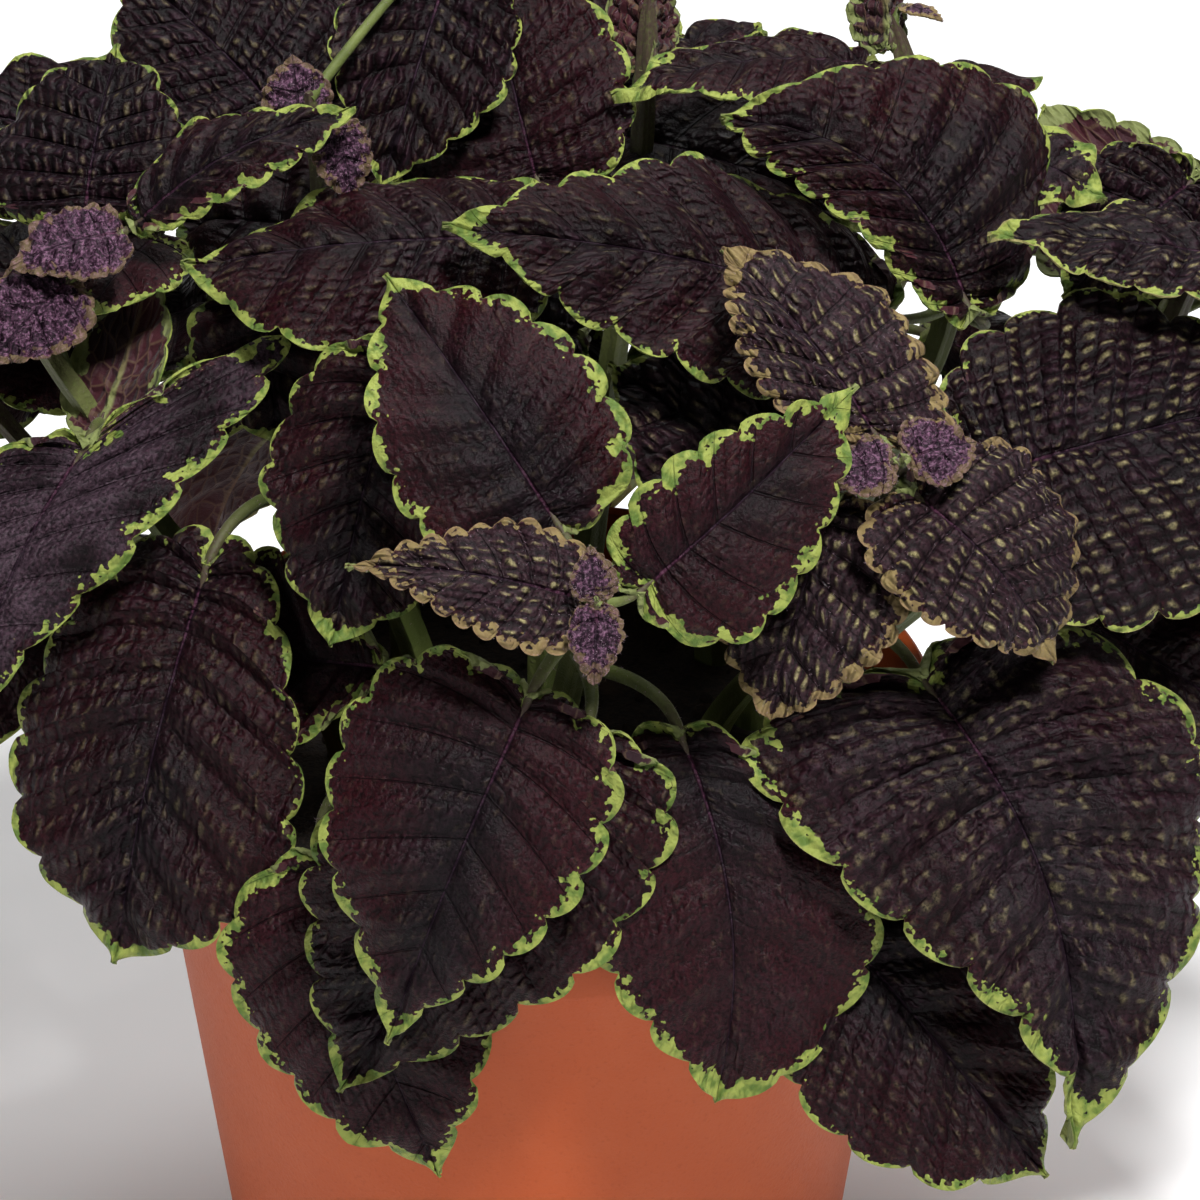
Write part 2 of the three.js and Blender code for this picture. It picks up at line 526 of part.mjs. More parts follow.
// The stem, a square tube along its line.
function stem(shoot) {
  const line = stemLine(shoot), sides = STEM.sides, points = [], triangles = [];
  let across = v3(1, 0, 0);
  line.forEach((p, i) => {
    const way = line[Math.min(i + 1, line.length - 1)].clone().sub(line[Math.max(i - 1, 0)]).normalize();
    if (i < 2) way.set(0, 0, 1);
    across = across.clone().addScaledVector(way, -across.dot(way)).normalize();
    const other = way.clone().cross(across);
    const radius = THREE.MathUtils.lerp(STEM.foot, STEM.tip, Math.max(0, i - 1) / (line.length - 2));
    for (let k = 0; k < sides; k++) {
      const angle = (2 * Math.PI * (k + 0.5)) / sides;
      points.push(p.clone().addScaledVector(across, radius * Math.cos(angle))
        .addScaledVector(other, radius * Math.sin(angle)));
    }
  });
  for (let i = 0; i < line.length - 1; i++)
    for (let k = 0; k < sides; k++) {
      const a = i * sides + k, b = i * sides + ((k + 1) % sides);
      triangles.push([a, b, a + sides], [b, b + sides, a + sides]);
    }
  const last = (line.length - 1) * sides;
  for (let k = 1; k < sides - 1; k++) triangles.push([0, k + 1, k], [last, last + k, last + k + 1]);
  return solid(points, triangles);
}

// ---- pot and soil ----
// A three.js geometry as a solid, stood up from Y to Z.
function solidOf(geometry) {
  const g = geometry.clone().rotateX(Math.PI / 2);
  g.deleteAttribute("normal");
  g.deleteAttribute("uv");
  const merged = mergeVertices(g, 1e-3), index = merged.index.array, position = merged.attributes.position;
  const points = Array.from({ length: position.count }, (_, i) => v3().fromBufferAttribute(position, i));
  const triangles = [];
  for (let i = 0; i < index.length; i += 3) {
    const tri = [index[i], index[i + 1], index[i + 2]];
    if (new Set(tri).size === 3) triangles.push(tri); // the pole triangles of a lathe close to nothing
  }
  return solid(points, triangles);
}
const turnedSolid = (profile, segments) =>
  solidOf(new THREE.LatheGeometry(profile.map(([r, z]) => new THREE.Vector2(r, z)), segments));
const post = (radius, height, sides, [x, y, z]) =>
  solidOf(new THREE.CylinderGeometry(radius, radius, height, sides).translate(x, z, -y));
const joined = (solids) => solids.reduce((all, one) => all.add(one));
const potInside = (z) =>
  POT.baseRadius - POT.wall + ((POT.wallTop - POT.baseRadius) / (POT.height - POT.collar)) * (z - POT.floor);
function pot() {
  const P = POT, under = P.height - P.collar, inRim = P.rimRadius - P.lip;
  const body = turnedSolid([
    [0, 0], [P.baseRadius - P.round, 0], [P.baseRadius, P.round], [P.wallTop, under],
    [P.rimRadius - P.round / 2, under + P.round], [P.rimRadius, P.height - P.round],
    [P.rimRadius - P.round, P.height], [inRim, P.height], [inRim, under + P.step],
    [potInside(under), under], [potInside(P.floor), P.floor], [0, P.floor],
  ], P.segments);
  const drains = Array.from({ length: P.drains }, (_, i) => {
    const angle = (2 * Math.PI * (i + 0.5)) / P.drains;
    return post(P.drainRadius, P.floor * 3, P.drainSides,
      [P.drainCircle * Math.cos(angle), P.drainCircle * Math.sin(angle), P.floor / 2]);
  });
  return body.subtract(joined(drains));
}
function soil() {
  const P = POT, S = SOIL, low = P.floor + S.holeClear, under = P.height - P.collar;
  const edge = P.rimRadius - P.lip - S.clear;
  const body = turnedSolid([
    [0, low], [potInside(low) - S.clear, low], [potInside(under) - S.clear, under],
    [edge, under + P.step + S.holeClear], [edge, S.edge],
    [edge * S.dome, THREE.MathUtils.lerp(S.edge, S.middle, 0.8)], [0, S.middle],
  ], S.segments);
  const radius = (STEM.foot + S.holeClear) / Math.cos(Math.PI / S.holeSides), deep = S.plugDepth * 1.5;
  const holes = Object.values(shoots).map(([[x, y, z]]) =>
    post(radius, deep, S.holeSides, [x, y, z - S.plugDepth + deep / 2]));
  return body.subtract(joined(holes));
}

// ---- the plant ----
const COLOURS = { pot: 0xa5563a, soil: 0x1c1714, shoot: 0x2c1a24 };
const plant = new THREE.Group();
plant.name = "coleus_in_pot";
function addNode(name, body, color) {
  const mesh = body.getMesh();
  const geometry = new THREE.BufferGeometry();
  geometry.setAttribute("position", new THREE.BufferAttribute(mesh.vertProperties, 3));
  geometry.setIndex(new THREE.BufferAttribute(mesh.triVerts, 1));
  const node = new THREE.Mesh(geometry, new THREE.MeshStandardMaterial({ color, roughness: 0.7 }));
  node.name = name;
  plant.add(node);
}
const kebab = (name) => name.replace(/[A-Z]/g, (c) => "_" + c.toLowerCase());
addNode("pot", pot(), COLOURS.pot);
addNode("potting_soil", soil(), COLOURS.soil);
for (const shoot of Object.keys(shoots)) {
  const own = leaves.filter((leaf) => leaf.shoot === shoot);
  const bodies = joined([stem(shoot), ...own.map(leafBody)]).decompose(); // drops the scraps of a join
  addNode(`${kebab(shoot)}_shoot`, bodies.sort((a, b) => b.volume() - a.volume())[0], COLOURS.shoot);
}

export default plant;
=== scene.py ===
import math

import bpy
import numpy as np
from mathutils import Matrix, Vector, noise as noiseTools


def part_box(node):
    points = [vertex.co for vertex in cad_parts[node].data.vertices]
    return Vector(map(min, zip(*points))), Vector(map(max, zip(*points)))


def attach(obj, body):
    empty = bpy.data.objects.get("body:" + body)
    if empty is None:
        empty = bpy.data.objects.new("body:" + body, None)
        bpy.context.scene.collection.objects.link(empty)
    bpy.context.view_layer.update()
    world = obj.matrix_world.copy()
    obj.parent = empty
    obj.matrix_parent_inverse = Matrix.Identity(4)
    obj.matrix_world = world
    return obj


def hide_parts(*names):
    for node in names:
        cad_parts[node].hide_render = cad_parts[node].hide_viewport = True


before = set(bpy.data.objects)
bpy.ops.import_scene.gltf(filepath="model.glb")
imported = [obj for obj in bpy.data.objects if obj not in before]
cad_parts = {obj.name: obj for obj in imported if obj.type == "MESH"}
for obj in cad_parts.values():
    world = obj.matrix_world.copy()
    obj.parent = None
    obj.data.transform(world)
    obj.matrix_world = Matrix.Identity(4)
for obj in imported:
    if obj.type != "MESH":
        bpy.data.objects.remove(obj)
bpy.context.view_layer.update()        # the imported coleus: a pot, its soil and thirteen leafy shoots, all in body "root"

# Coleus in a plastic pot. Everything is built in metres. Lengths in the dictionaries are in millimetres,
# except the studio's, which are in metres.

mm = 0.001
scene = bpy.context.scene
scene.view_settings.view_transform = "Standard"
randomDraw = np.random.default_rng(8)
tiny = 1e-9        # keeps a divisor above zero
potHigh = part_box("pot")[1]
rimHeight = potHigh.z / mm
rimRadius = potHigh.x / mm


def deselectAll():
    if bpy.context.object and bpy.context.object.mode != "OBJECT":
        bpy.ops.object.mode_set(mode="OBJECT")
    bpy.ops.object.select_all(action="DESELECT")


def pick(*pieces):
    deselectAll()
    for piece in pieces:
        piece.select_set(True)
    bpy.context.view_layer.objects.active = pieces[0]


def applyModifier(piece, kind, **settings):
    pick(piece)
    modifier = piece.modifiers.new(kind.title(), kind)
    for name, value in settings.items():
        setattr(modifier, name, value)
    bpy.ops.object.modifier_apply(modifier=modifier.name)


def readAll(items, name, width=3):
    values = np.empty(len(items) * width)
    items.foreach_get(name, values)
    return values.reshape(-1, width)


def smooth(piece, degrees):
    pick(piece)
    bpy.ops.object.shade_smooth_by_angle(angle=math.radians(degrees))


# camera and light

# the front sheet: a square view of 1200 units, taken 30 degrees down, that the front leaves are laid out on
sheet = dict(perUnit=0.2114, rimX=535, rimY=697, middle=600, eye=1400, pitch=30)


def turned(across, up, near):
    pitch = math.radians(sheet["pitch"])
    return np.array([
        across,
        up * math.sin(pitch) - near * math.cos(pitch),
        up * math.cos(pitch) + near * math.sin(pitch),
    ])


def onSheet(place):
    x, y, near = place
    unit = sheet["perUnit"] * (1 - near / sheet["eye"])
    across = (sheet["middle"] - sheet["rimX"]) * sheet["perUnit"] + (x - sheet["middle"]) * unit
    up = (sheet["rimY"] - sheet["middle"]) * sheet["perUnit"] + (sheet["middle"] - y) * unit
    return turned(across, up, near) + np.array([0, 0, rimHeight])


studio = dict(
    floorSize=6, floorColor=(0.93, 0.93, 0.93, 1), floorRoughness=0.9, nearest=0.05, worldColor=(1, 1, 1, 1),
    worldStrength=0.04,
    lights=[
        dict(name="keyLight", place=(0.35, -0.75, 1.8), size=0.3, power=52),
        dict(name="fillLight", place=(-0.8, -1.4, 1.1), size=0.8, power=3.5),
        dict(name="topLight", place=(0.2, 0.9, 1.6), size=0.9, power=18),
    ],
)


def makeStudio():
    target = onSheet((sheet["middle"], sheet["middle"], 0))
    eye = target + turned(0, 0, sheet["eye"])
    bpy.ops.object.camera_add(location=eye * mm, rotation=(math.radians(90 - sheet["pitch"]), 0, 0))
    camera = bpy.context.object
    halfView = sheet["middle"] * sheet["perUnit"]
    camera.data.lens = camera.data.sensor_width / 2 * sheet["eye"] / halfView
    camera.data.clip_start = studio["nearest"]
    scene.camera = camera
    world = bpy.data.worlds.new("studioWorld")
    scene.world = world
    world.use_nodes = True
    background = world.node_tree.nodes["Background"]
    background.inputs["Color"].default_value = studio["worldColor"]
    background.inputs["Strength"].default_value = studio["worldStrength"]
    for light in studio["lights"]:
        bpy.ops.object.light_add(type="AREA", location=light["place"])
        lamp = bpy.context.object
        lamp.name = light["name"]
        lamp.data.size = light["size"]
        lamp.data.energy = light["power"]
        aim = np.array(light["place"]) - target * mm
        lamp.rotation_euler = (
            math.atan2(math.hypot(aim[0], aim[1]), aim[2]), 0, math.atan2(aim[0], -aim[1]))
    deselectAll()
    bpy.ops.mesh.primitive_plane_add(size=studio["floorSize"], location=(0, 0, 0))
    floor = bpy.context.object
    floor.name = "floor"
    paint = bpy.data.materials.new("paleFloor")
    paint.use_nodes = True
    shader = paint.node_tree.nodes["Principled BSDF"]
    shader.inputs["Base Color"].default_value = studio["floorColor"]
    shader.inputs["Roughness"].default_value = studio["floorRoughness"]
    floor.data.materials.append(paint)


makeStudio()
print("studio done")

# shoots and leaves, as they stand

# where each stem runs, from its foot in the soil to its tip
shootLines = {
    "front": [(4, -28, 137), (5, -34, 160), (9, -58, 195), (12, -84, 220), (13, -98, 230)],
    "right": [(34, -22, 137), (38, -27, 160), (55, -45, 195), (70, -62, 232), (73, -66, 243)],
    "upperLeft": [(-22, 8, 137), (-26, 8, 160), (-42, 6, 205), (-47, 4, 235), (-43, 7, 265), (-45, 5, 289)],
    "left": [
        (-40, -10, 137), (-46, -12, 160), (-76, -16, 200), (-91, -15, 228), (-99, -16, 245), (-93, -19, 262),
    ],
    "upperRight": [(46, 12, 137), (52, 12, 160), (72, 12, 200), (86, 16, 235), (83, 38, 258), (75, 62, 279)],
    "top": [(8, 24, 137), (10, 26, 160), (16, 32, 210), (22, 38, 255), (24, 50, 290)],
    "farRight": [(60, 0, 137), (66, 1, 158), (92, 8, 180), (128, 16, 222), (141, 20, 253)],
    "middle": [(2, 2, 137), (2, 0, 165), (4, -4, 215), (6, -3, 263)],
    "lowLeft": [(-16, -26, 137), (-18, -29, 158), (-26, -38, 182)],
    "backLeft": [(-28, 36, 137), (-31, 40, 160), (-52, 62, 205), (-70, 80, 256)],
    "back": [(4, 50, 137), (4, 55, 160), (4, 80, 200), (4, 108, 240)],
    "backRight": [(38, 40, 137), (42, 44, 160), (68, 68, 195), (95, 92, 236)],
    "farLeft": [(-52, 12, 137), (-60, 14, 158), (-92, 22, 180), (-122, 34, 210)],
}

# the small leaves near the tip of a stem
youngTip, youngBud, youngGreen = (dict(teeth=4, small=True, look=look) for look in ("tip", "bud", "green"))


def leafAt(width, face, base, tip, **changes):
    # face is the way the upper side looks (across, up, near), base and tip are places on the front sheet
    # (x, y, millimetres nearer than the rim's middle), and changes are what differs from blade below
    return dict(base=onSheet(base), tip=onSheet(tip), face=turned(*face), width=width, **changes)


leavesByHand = {
    "front": {
        "tipUp": leafAt(9, (0, -0.2, 1), base=(596, 598, 130), tip=(590, 545, 133), curl=0, **youngTip),
        "tipDown": leafAt(10, (0, 0.1, 1), base=(597, 606, 130), tip=(594, 686, 128), arch=0.12, **youngTip),
        "left": leafAt(25, (0, 0.45, 0.9), base=(583, 599, 123), tip=(346, 567, 118), arch=0.1, fold=10,
            curl=30, round=0.5, point=1.6, look="young"),
        "right": leafAt(34, (0.25, -0.1, 1), base=(640, 592, 121), tip=(857, 385, 112), arch=0.06, fold=12,
            lean=-0.16, point=1.35, look="maroon"),
        "up": leafAt(44, (0.15, -0.1, 1), base=(562, 530, 114), tip=(386, 276, 100), arch=0.1, fold=8,
            look="maroon"),
        "down": leafAt(55, (-0.1, 0.15, 1), base=(530, 696, 112), tip=(388, 1042, 90), teeth=9, curl=25,
            point=1.4, lean=-0.14, look="maroon"),
        "lowLeft": leafAt(58, (0.1, 0.1, 1), base=(582, 738, 92), tip=(342, 1087, 66), arch=0.06, teeth=9,
            lean=-0.08, skew=0.22),
        "lowRight": leafAt(56, (0.08, 0.15, 1), base=(680, 734, 85), tip=(714, 1101, 65), teeth=8, round=1,
            point=1.05, fuller=0.32, bow=0.08, look="maroon"),
    },
    "right": {
        "tipLeft": leafAt(13, (0, 0.5, 0.9), base=(893, 462, 108), tip=(826, 479, 106), **youngTip),
        "tipRight": leafAt(15, (0, 0.4, 0.9), base=(908, 458, 108), tip=(977, 443, 100), **youngTip),
        "down": leafAt(46, (0.1, 0.5, 0.9), base=(913, 492, 104), tip=(1052, 662, 88), arch=0.14, curl=35,
            heart=0.1, lean=0.22, skew=-0.2, look="young"),
        "up": leafAt(33, (0.2, 0.35, 0.9), base=(880, 440, 102), tip=(722, 250, 86), arch=0.1, curl=25,
            lean=-0.2, point=1.05, fuller=-0.25, lopsided=-0.8, skew=-0.35, look="young"),
        "out": leafAt(66, (0.2, 0.3, 0.9), base=(975, 478, 80), tip=(1325, 396, 44), curl=25, teeth=9,
            lean=-0.1, look="speckled"),
        "in": leafAt(40, (-0.25, 0.3, 0.9), base=(835, 500, 96), tip=(773, 718, 90), arch=0.1, curl=25,
            point=0.95, look="young"),
        "big": leafAt(80, (0.15, 0.3, 0.9), base=(920, 677, 80), tip=(1066, 1142, 62), arch=0.1, curl=25,
            teeth=9, heart=0.1, round=0.47, point=1.45, fuller=0.3, lean=0.02, bow=0.09, look="green"),
        "low": leafAt(45, (0.1, 0.2, 1), base=(802, 890, 63), tip=(1043, 1175, 50), arch=0.06, teeth=7,
            round=0.8, point=0.95, lean=-0.2),
    },
    "upperLeft": {
        "tipUp": leafAt(14, (0, 0.3, 1), base=(300, 120, 62), tip=(292, 54, 63), **youngTip),
        "tipDown": leafAt(12, (0.2, 0.3, 1), base=(335, 125, 66), tip=(352, 201, 60), **youngTip),
        "right": leafAt(36, (0.1, 0.25, 0.9), base=(450, -36, 34), tip=(380, 190, 48), fold=6, round=0.7,
            point=1.2, look="quilted"),
        "back": leafAt(58, (-0.1, 0.6, 0.8), base=(312, 150, 20), tip=(130, -28, 0), look="quilted"),
        "under": leafAt(38, (-0.1, 0.5, 0.8), base=(322, 232, 50), tip=(180, 226, 36), teeth=5, arch=0.1),
        "inner": leafAt(31, (-0.1, 0.5, 0.8), base=(262, 288, 42), tip=(280, 450, 42), teeth=5),
        "low": leafAt(60, (-0.2, 0.25, 0.9), base=(207, 566, 58), tip=(117, 960, 46), fold=7, curl=18,
            teeth=9, heart=0.14, round=1.1, point=1, fuller=0.12, lean=0.03),
    },
    "left": {
        "tipOut": leafAt(21, (0, 0.7, 0.7), base=(122, 232, 74), tip=(8, 270, 78), **youngTip),
        "tipDown": leafAt(22, (0, 0.5, 0.8), base=(70, 280, 76), tip=(-10, 365, 78), **youngTip),
        "big": leafAt(43, (-0.1, 0.25, 0.95), base=(86, 445, 70), tip=(-38, 775, 66), fold=2, teeth=10,
            heart=0.25, lopsided=0.8, round=0.55, point=2, skew=0.5, bow=-0.05, look="velvet"),
        "right": leafAt(22, (0, 0.6, 0.8), base=(135, 225, 64), tip=(356, 110, 72), arch=0.12, fold=2,
            curl=25, heart=0, lean=0.25, fuller=-0.4),
        "up": leafAt(44, (-0.1, 0.5, 0.8), base=(84, 218, 52), tip=(118, 50, 30), fold=2, curl=25, lean=0.12,
            look="quilted"),
        "red": leafAt(22, (0.5, 0.1, -0.8), base=(98, 434, 56), tip=(152, 262, 50), teeth=5, arch=0.05,
            fold=0, look="maroon"),
        "curl": leafAt(22, (-0.3, 0.3, 0.9), base=(160, 234, 52), tip=(85, 320, 68), teeth=5, fold=0,
            look="maroon"),
        "behind": leafAt(24, (-0.1, 0.5, 0.8), base=(108, 370, 36), tip=(-60, 352, 26), teeth=5,
            look="maroon"),
    },
    "upperRight": {
        "in": leafAt(46, (0, 0.45, 0.9), base=(880, 318, 48), tip=(441, 230, 84), curl=25, teeth=9),
        "up": leafAt(49, (0.1, 0.3, 0.9), base=(970, 311, 58), tip=(721, 121, 60), teeth=9, heart=0.04,
            point=0.9, lean=-0.5, skew=-0.3, bow=-0.17),
        "under": leafAt(41, (0, 0.4, 0.9), base=(792, 498, 58), tip=(608, 366, 64), teeth=7, arch=0.06,
            look="quilted"),
        "far": leafAt(29, (0, 0.9, 0.5), base=(870, 64, 26), tip=(612, 98, 42), lean=0.2),
        "lime": leafAt(22, (0.3, 0.4, 0.8), base=(1010, 150, 36), tip=(1104, 203, 42), **youngGreen),
        "bud": leafAt(17, (-0.3, 0, -0.9), base=(890, 46, 14), tip=(888, -62, 16), fold=55, **youngBud),
        "budBlade": leafAt(7, (0.1, 0.9, 0.4), base=(904, 6, 10), tip=(943, 22, 14), **youngBud),
    },
    "top": {
        "rightFar": leafAt(24, (0.1, 0.9, 0.4), base=(672, 47, -2), tip=(766, 37, 4), teeth=5),
        "under": leafAt(44, (0, 0.6, 0.8), base=(600, 132, 12), tip=(868, 226, 24), teeth=5),
        "leftFar": leafAt(46, (-0.2, 0.5, 0.8), base=(630, 140, -6), tip=(500, -40, -22), teeth=5),
        "bud": leafAt(22, (-0.3, 0, -0.9), base=(654, 64, 26), tip=(660, -58, 26), fold=55, **youngBud),
    },
    "farRight": {
        "up": leafAt(38, (0.1, -0.2, -0.9), base=(1218, 268, 16), tip=(1043, 106, 4), arch=0.1, lean=-0.3,
            point=0.9, look="maroon"),
        "in": leafAt(38, (0.1, 0.5, 0.8), base=(1195, 178, 20), tip=(1064, 300, 34), look="quilted"),
        "tip": leafAt(30, (0.1, 0.8, 0.6), base=(1258, 262, 52), tip=(988, 239, 70), arch=0.04, fold=2,
            teeth=7, look="speckled"),
        "low": leafAt(56, (0.4, 0.3, 0.9), base=(1050, 600, 46), tip=(1330, 800, 22), teeth=7),
        "under": leafAt(46, (0.3, 0.1, 0.9), base=(1100, 540, 24), tip=(1250, 760, 2), teeth=5),
    },
    "middle": {
        "up": leafAt(50, (-0.15, 0.25, 0.9), base=(540, 192, 38), tip=(480, -70, 8), arch=0.1, lean=0.1),
        "left": leafAt(47, (-0.1, 0.6, 0.8), base=(545, 238, 66), tip=(184, 269, 68), arch=0.05, fold=-8,
            lean=0.04, fuller=0.25),
        "down": leafAt(44, (-0.2, 0.1, 1), base=(398, 356, 86), tip=(333, 643, 80), arch=0.06, point=0.95,
            lean=0.12),
        "in": leafAt(36, (-0.1, 0.5, 0.8), base=(580, 337, 60), tip=(399, 314, 60), teeth=5, look="quilted"),
    },
    "lowLeft": {
        "side": leafAt(42, (-0.1, 0.1, 1), base=(388, 668, 62), tip=(178, 650, 38), curl=10, round=1.2,
            point=0.9, heart=0, look="maroon"),
        "down": leafAt(52, (-0.3, 0.1, 1), base=(322, 858, 70), tip=(440, 1176, 57), curl=25, look="maroon"),
    },
    "backLeft": {
        "leftFar": leafAt(42, (-0.1, 0.5, 0.8), base=(120, 160, 0), tip=(-60, 108, -20), teeth=5,
            look="quilted"),
    },
}


# Leaves by rule, at the sides and the back: how far under the stem's tip they grow, heading in degrees
# (0 = right, 90 = back), droop in degrees, length, and changes
leavesByRule = {
    "left": {"out": (26, 180, 35, 62), "backOut": (30, 108, 5, 57)},
    "upperRight": {"back": (34, 85, 20, 58)},
    "top": {"back": (58, 95, 30, 54), "backLeft": (84, 186, 35, 46), "backRight": (68, 30, 15, 58)},
    "farRight": {
        "out": (22, 353, 40, 66), "back": (34, 70, 30, 66), "side": (50, 330, 50, 70),
        "deep": (84, 45, 40, 74),
    },
    "backLeft": {
        "tipA": (2, 60, -20, 22, youngTip), "tipB": (2, 240, -20, 22, youngTip), "up": (14, 80, 10, 42),
        "out": (34, 145, 40, 66), "side": (56, 182, 30, 72), "low": (88, 125, 55, 78),
        "in": (36, 320, 15, 56),
    },
    "back": {
        "tipLeft": (2, 170, -20, 22, youngTip), "tipRight": (2, 350, -20, 22, youngTip),
        "upLeft": (14, 200, 5, 42), "upRight": (14, 20, 5, 42), "down": (34, 92, 45, 66),
        "sideLeft": (60, 150, 30, 78), "sideRight": (60, 30, 30, 78), "low": (84, 92, 55, 78),
        "in": (50, 264, 12, 48),
    },
    "backRight": {
        "tipA": (2, 120, -20, 22, youngTip), "tipB": (2, 300, -20, 22, youngTip), "up": (14, 110, 10, 42),
        "out": (32, 40, 40, 66), "side": (54, 350, 30, 72), "low": (84, 62, 55, 78),
        "in": (34, 210, 10, 54),
    },
    "farLeft": {
        "tipA": (2, 90, -10, 20, youngTip), "tipB": (2, 270, -10, 20, youngTip), "out": (22, 180, 45, 60),
        "back": (44, 130, 40, 68), "front": (44, 235, 45, 64), "deep": (72, 165, 45, 66),
    },
}

# the shape of a leaf unless its own line says otherwise, and the form that all share
blade = dict(
    arch=0.08, fold=5, curl=20, teeth=8, heart=0.06, small=False, look="mature",
    round=0.6, point=1.15, fuller=0, lopsided=0, lean=0, skew=0, bow=0)
byRule = dict(teeth=5, width=0.66, stalk=6, stalkShare=0.16, rise=0.35)
bladeForm = dict(
    lobeEnd=0.4, lobeSkew=0.62, spacing=1.6, outlineSteps=400, nextStep=0.002, archStretch=2.2,
    toothDepth=0.034, toothSkew=0.8, toothRound=0.6, baseFade=0.05, tipFade=0.2, veinLead=1.9,
    veinSweep=0.03, sweepFade=4, archEnd=1.1)
stemForm = dict(
    foot=3.9, tip=2.1, point=9, pointLeast=0.35, upright=6, steps=6, fineSteps=44, plugDepth=21.7,
    nodeSwell=0.35, nodeReach=2.2, sectionPoints=20, sectionMiddle=0.8, sectionCorner=0.17)
stalkForm = dict(
    node=1.9, end=1.2, slim=0.82, small=0.62, fullWidth=50, least=0.75, most=1.1, below=8, places=10,
    lead=0.25, pull=0.3, topNode=0.93, steps=12, roundness=3, ribReach=(0.03, 0.07, 0.12),
    ribDepth=(-1.0, -1.4, -1.5), ribRadius=(0.75, 0.55, 0.25))

# how the blades differ with age: amounts from 0 to 1, the breadth of the pale margin as a share, then in
# millimetres the height of the puckers, their pitch along a side vein, the bulge between side veins and the
# waves of the margin. Among the amounts, speck is pale cells and a painted highlight on the pucker crests,
# bloom is the velvet's grey tone and a painted sheen, and quilt is how much painted highlight lightens the
# crests
plainLook = dict(
    age=0, red=0.2, speck=0, bloomAndSheen=0, order=0.6, band=0.85, quilt=0.5, bump=0.7, pitch=2.6, panel=2.4,
    wave=1.6)
looks = {
    "mature": dict(red=0.7, speck=0.2, bloomAndSheen=0.03, band=0.62, quilt=0.55, bump=1.05, panel=2.6),
    "green": dict(red=0.4, speck=0.4, bloomAndSheen=0.16, order=0.55, band=1.15, quilt=0.8, bump=1.2, pitch=3.6,
        panel=3.8, wave=2),
    "velvet": dict(red=0.1, bloomAndSheen=1, quilt=0.7, pitch=2, panel=1.6, wave=1.8),
    "speckled": dict(age=0.12, speck=0.8, bloomAndSheen=0.08, order=0.7, band=0.5, quilt=0.9, bump=1.6, pitch=3),
    "quilted": dict(age=0.05, speck=0.3, bloomAndSheen=0.04, order=0.72, band=0.42, quilt=0.9, bump=1.6, wave=1.4),
    "maroon": dict(red=1, speck=0.06, bloomAndSheen=0.07, order=0.55, band=0.9, quilt=0.3, bump=0.5, pitch=2.2,
        panel=1.3, wave=1.3),
    "young": dict(age=0.5, red=0.3, speck=1, order=0.85, quilt=0.6, bump=1.5, pitch=2.5, panel=1.4, wave=1),
    "tip": dict(age=1, order=0.1, band=0.7, pitch=1.1, panel=0.6, wave=1),
    "bud": dict(age=0.8, red=0.1, order=0.1, band=0.7, bump=0.6, pitch=1, panel=0.4, wave=0.6),
}
looks = {name: {**plainLook, **look} for name, look in looks.items()}
# young blades have this many teeth to each side vein
lobeShare = {"tip": 2, "bud": 2, "young": 1.5}
# blades are crinkled from the first age on, and past the second more deeply and finely divided
ages = dict(young=0.5, tip=0.6)
crinkles = dict(
    depth=1.3, young=0.35, across=3.4, fullWidth=18, sway=1.3, swayPitch=0.6, asidePitch=0.7, edge=4,
    least=0.45)


def along(line):
    steps = np.linalg.norm(np.diff(line, axis=0), axis=1)
    return np.concatenate([[0], np.cumsum(steps)])


def unit(vector):
    return vector / np.linalg.norm(vector)


def smoothLine(points, count):
    points = [np.array(point, float) for point in points]
    last = len(points) - 1
    ends = [2 * points[0] - points[1]] + points + [2 * points[-1] - points[-2]]
    line = []
    for step in range(count + 1):
        place = last * step / count
        start = min(int(place), last - 1)
        part = place - start
        a, b, c, d = ends[start:start + 4]
        ab, bc, cd = (np.linalg.norm(end - begin) ** 0.5 for begin, end in ((a, b), (b, c), (c, d)))
        leave = ((b - a) / ab - (c - a) / (ab + bc) + (c - b) / bc) * bc
        arrive = ((c - b) / bc - (d - b) / (bc + cd) + (d - c) / cd) * bc
        line.append(
            b + leave * part + (3 * (c - b) - 2 * leave - arrive) * part ** 2
            + (2 * (b - c) + leave + arrive) * part ** 3)
    return np.array(line)


def stemLine(shoot, steps):
    foot, *rest = shootLines[shoot]
    above = (foot[0], foot[1], foot[2] + stemForm["upright"])
    low = (foot[0], foot[1], foot[2] - stemForm["plugDepth"])
    return np.vstack([[low], smoothLine([foot, above, *rest], steps)])


def stemPoint(shoot, below):
    line = stemLine(shoot, stemForm["steps"])[::-1]
    run = along(line)
    return np.array([np.interp(below, run, line[:, axis]) for axis in range(3)])


def placeLeaves():
    leaves = []
    for shoot, own in leavesByHand.items():
        for name, shape in own.items():
            leaves.append({**blade, **shape, "shoot": shoot, "name": name})
    for shoot, own in leavesByRule.items():
        for name, (below, heading, droop, length, *changes) in own.items():
            heading, droop = math.radians(heading), math.radians(droop)
            out = np.array([math.cos(heading), math.sin(heading), 0])
            upward = np.array([0, 0, 1.0])
            stalk = byRule["stalk"] + byRule["stalkShare"] * length
            leaf = {**blade, "teeth": byRule["teeth"], "shoot": shoot, "name": name}
            for change in changes:
                leaf.update(change)
            leaf["base"] = stemPoint(shoot, below) + out * stalk + upward * stalk * byRule["rise"]
            leaf["tip"] = leaf["base"] + length * (out * math.cos(droop) - upward * math.sin(droop))
            leaf["face"] = out * math.sin(droop) + upward * math.cos(droop)
            leaf["width"] = length * byRule["width"]
            leaves.append(leaf)
    for number, leaf in enumerate(leaves):
        leaf["number"] = number
    return leaves


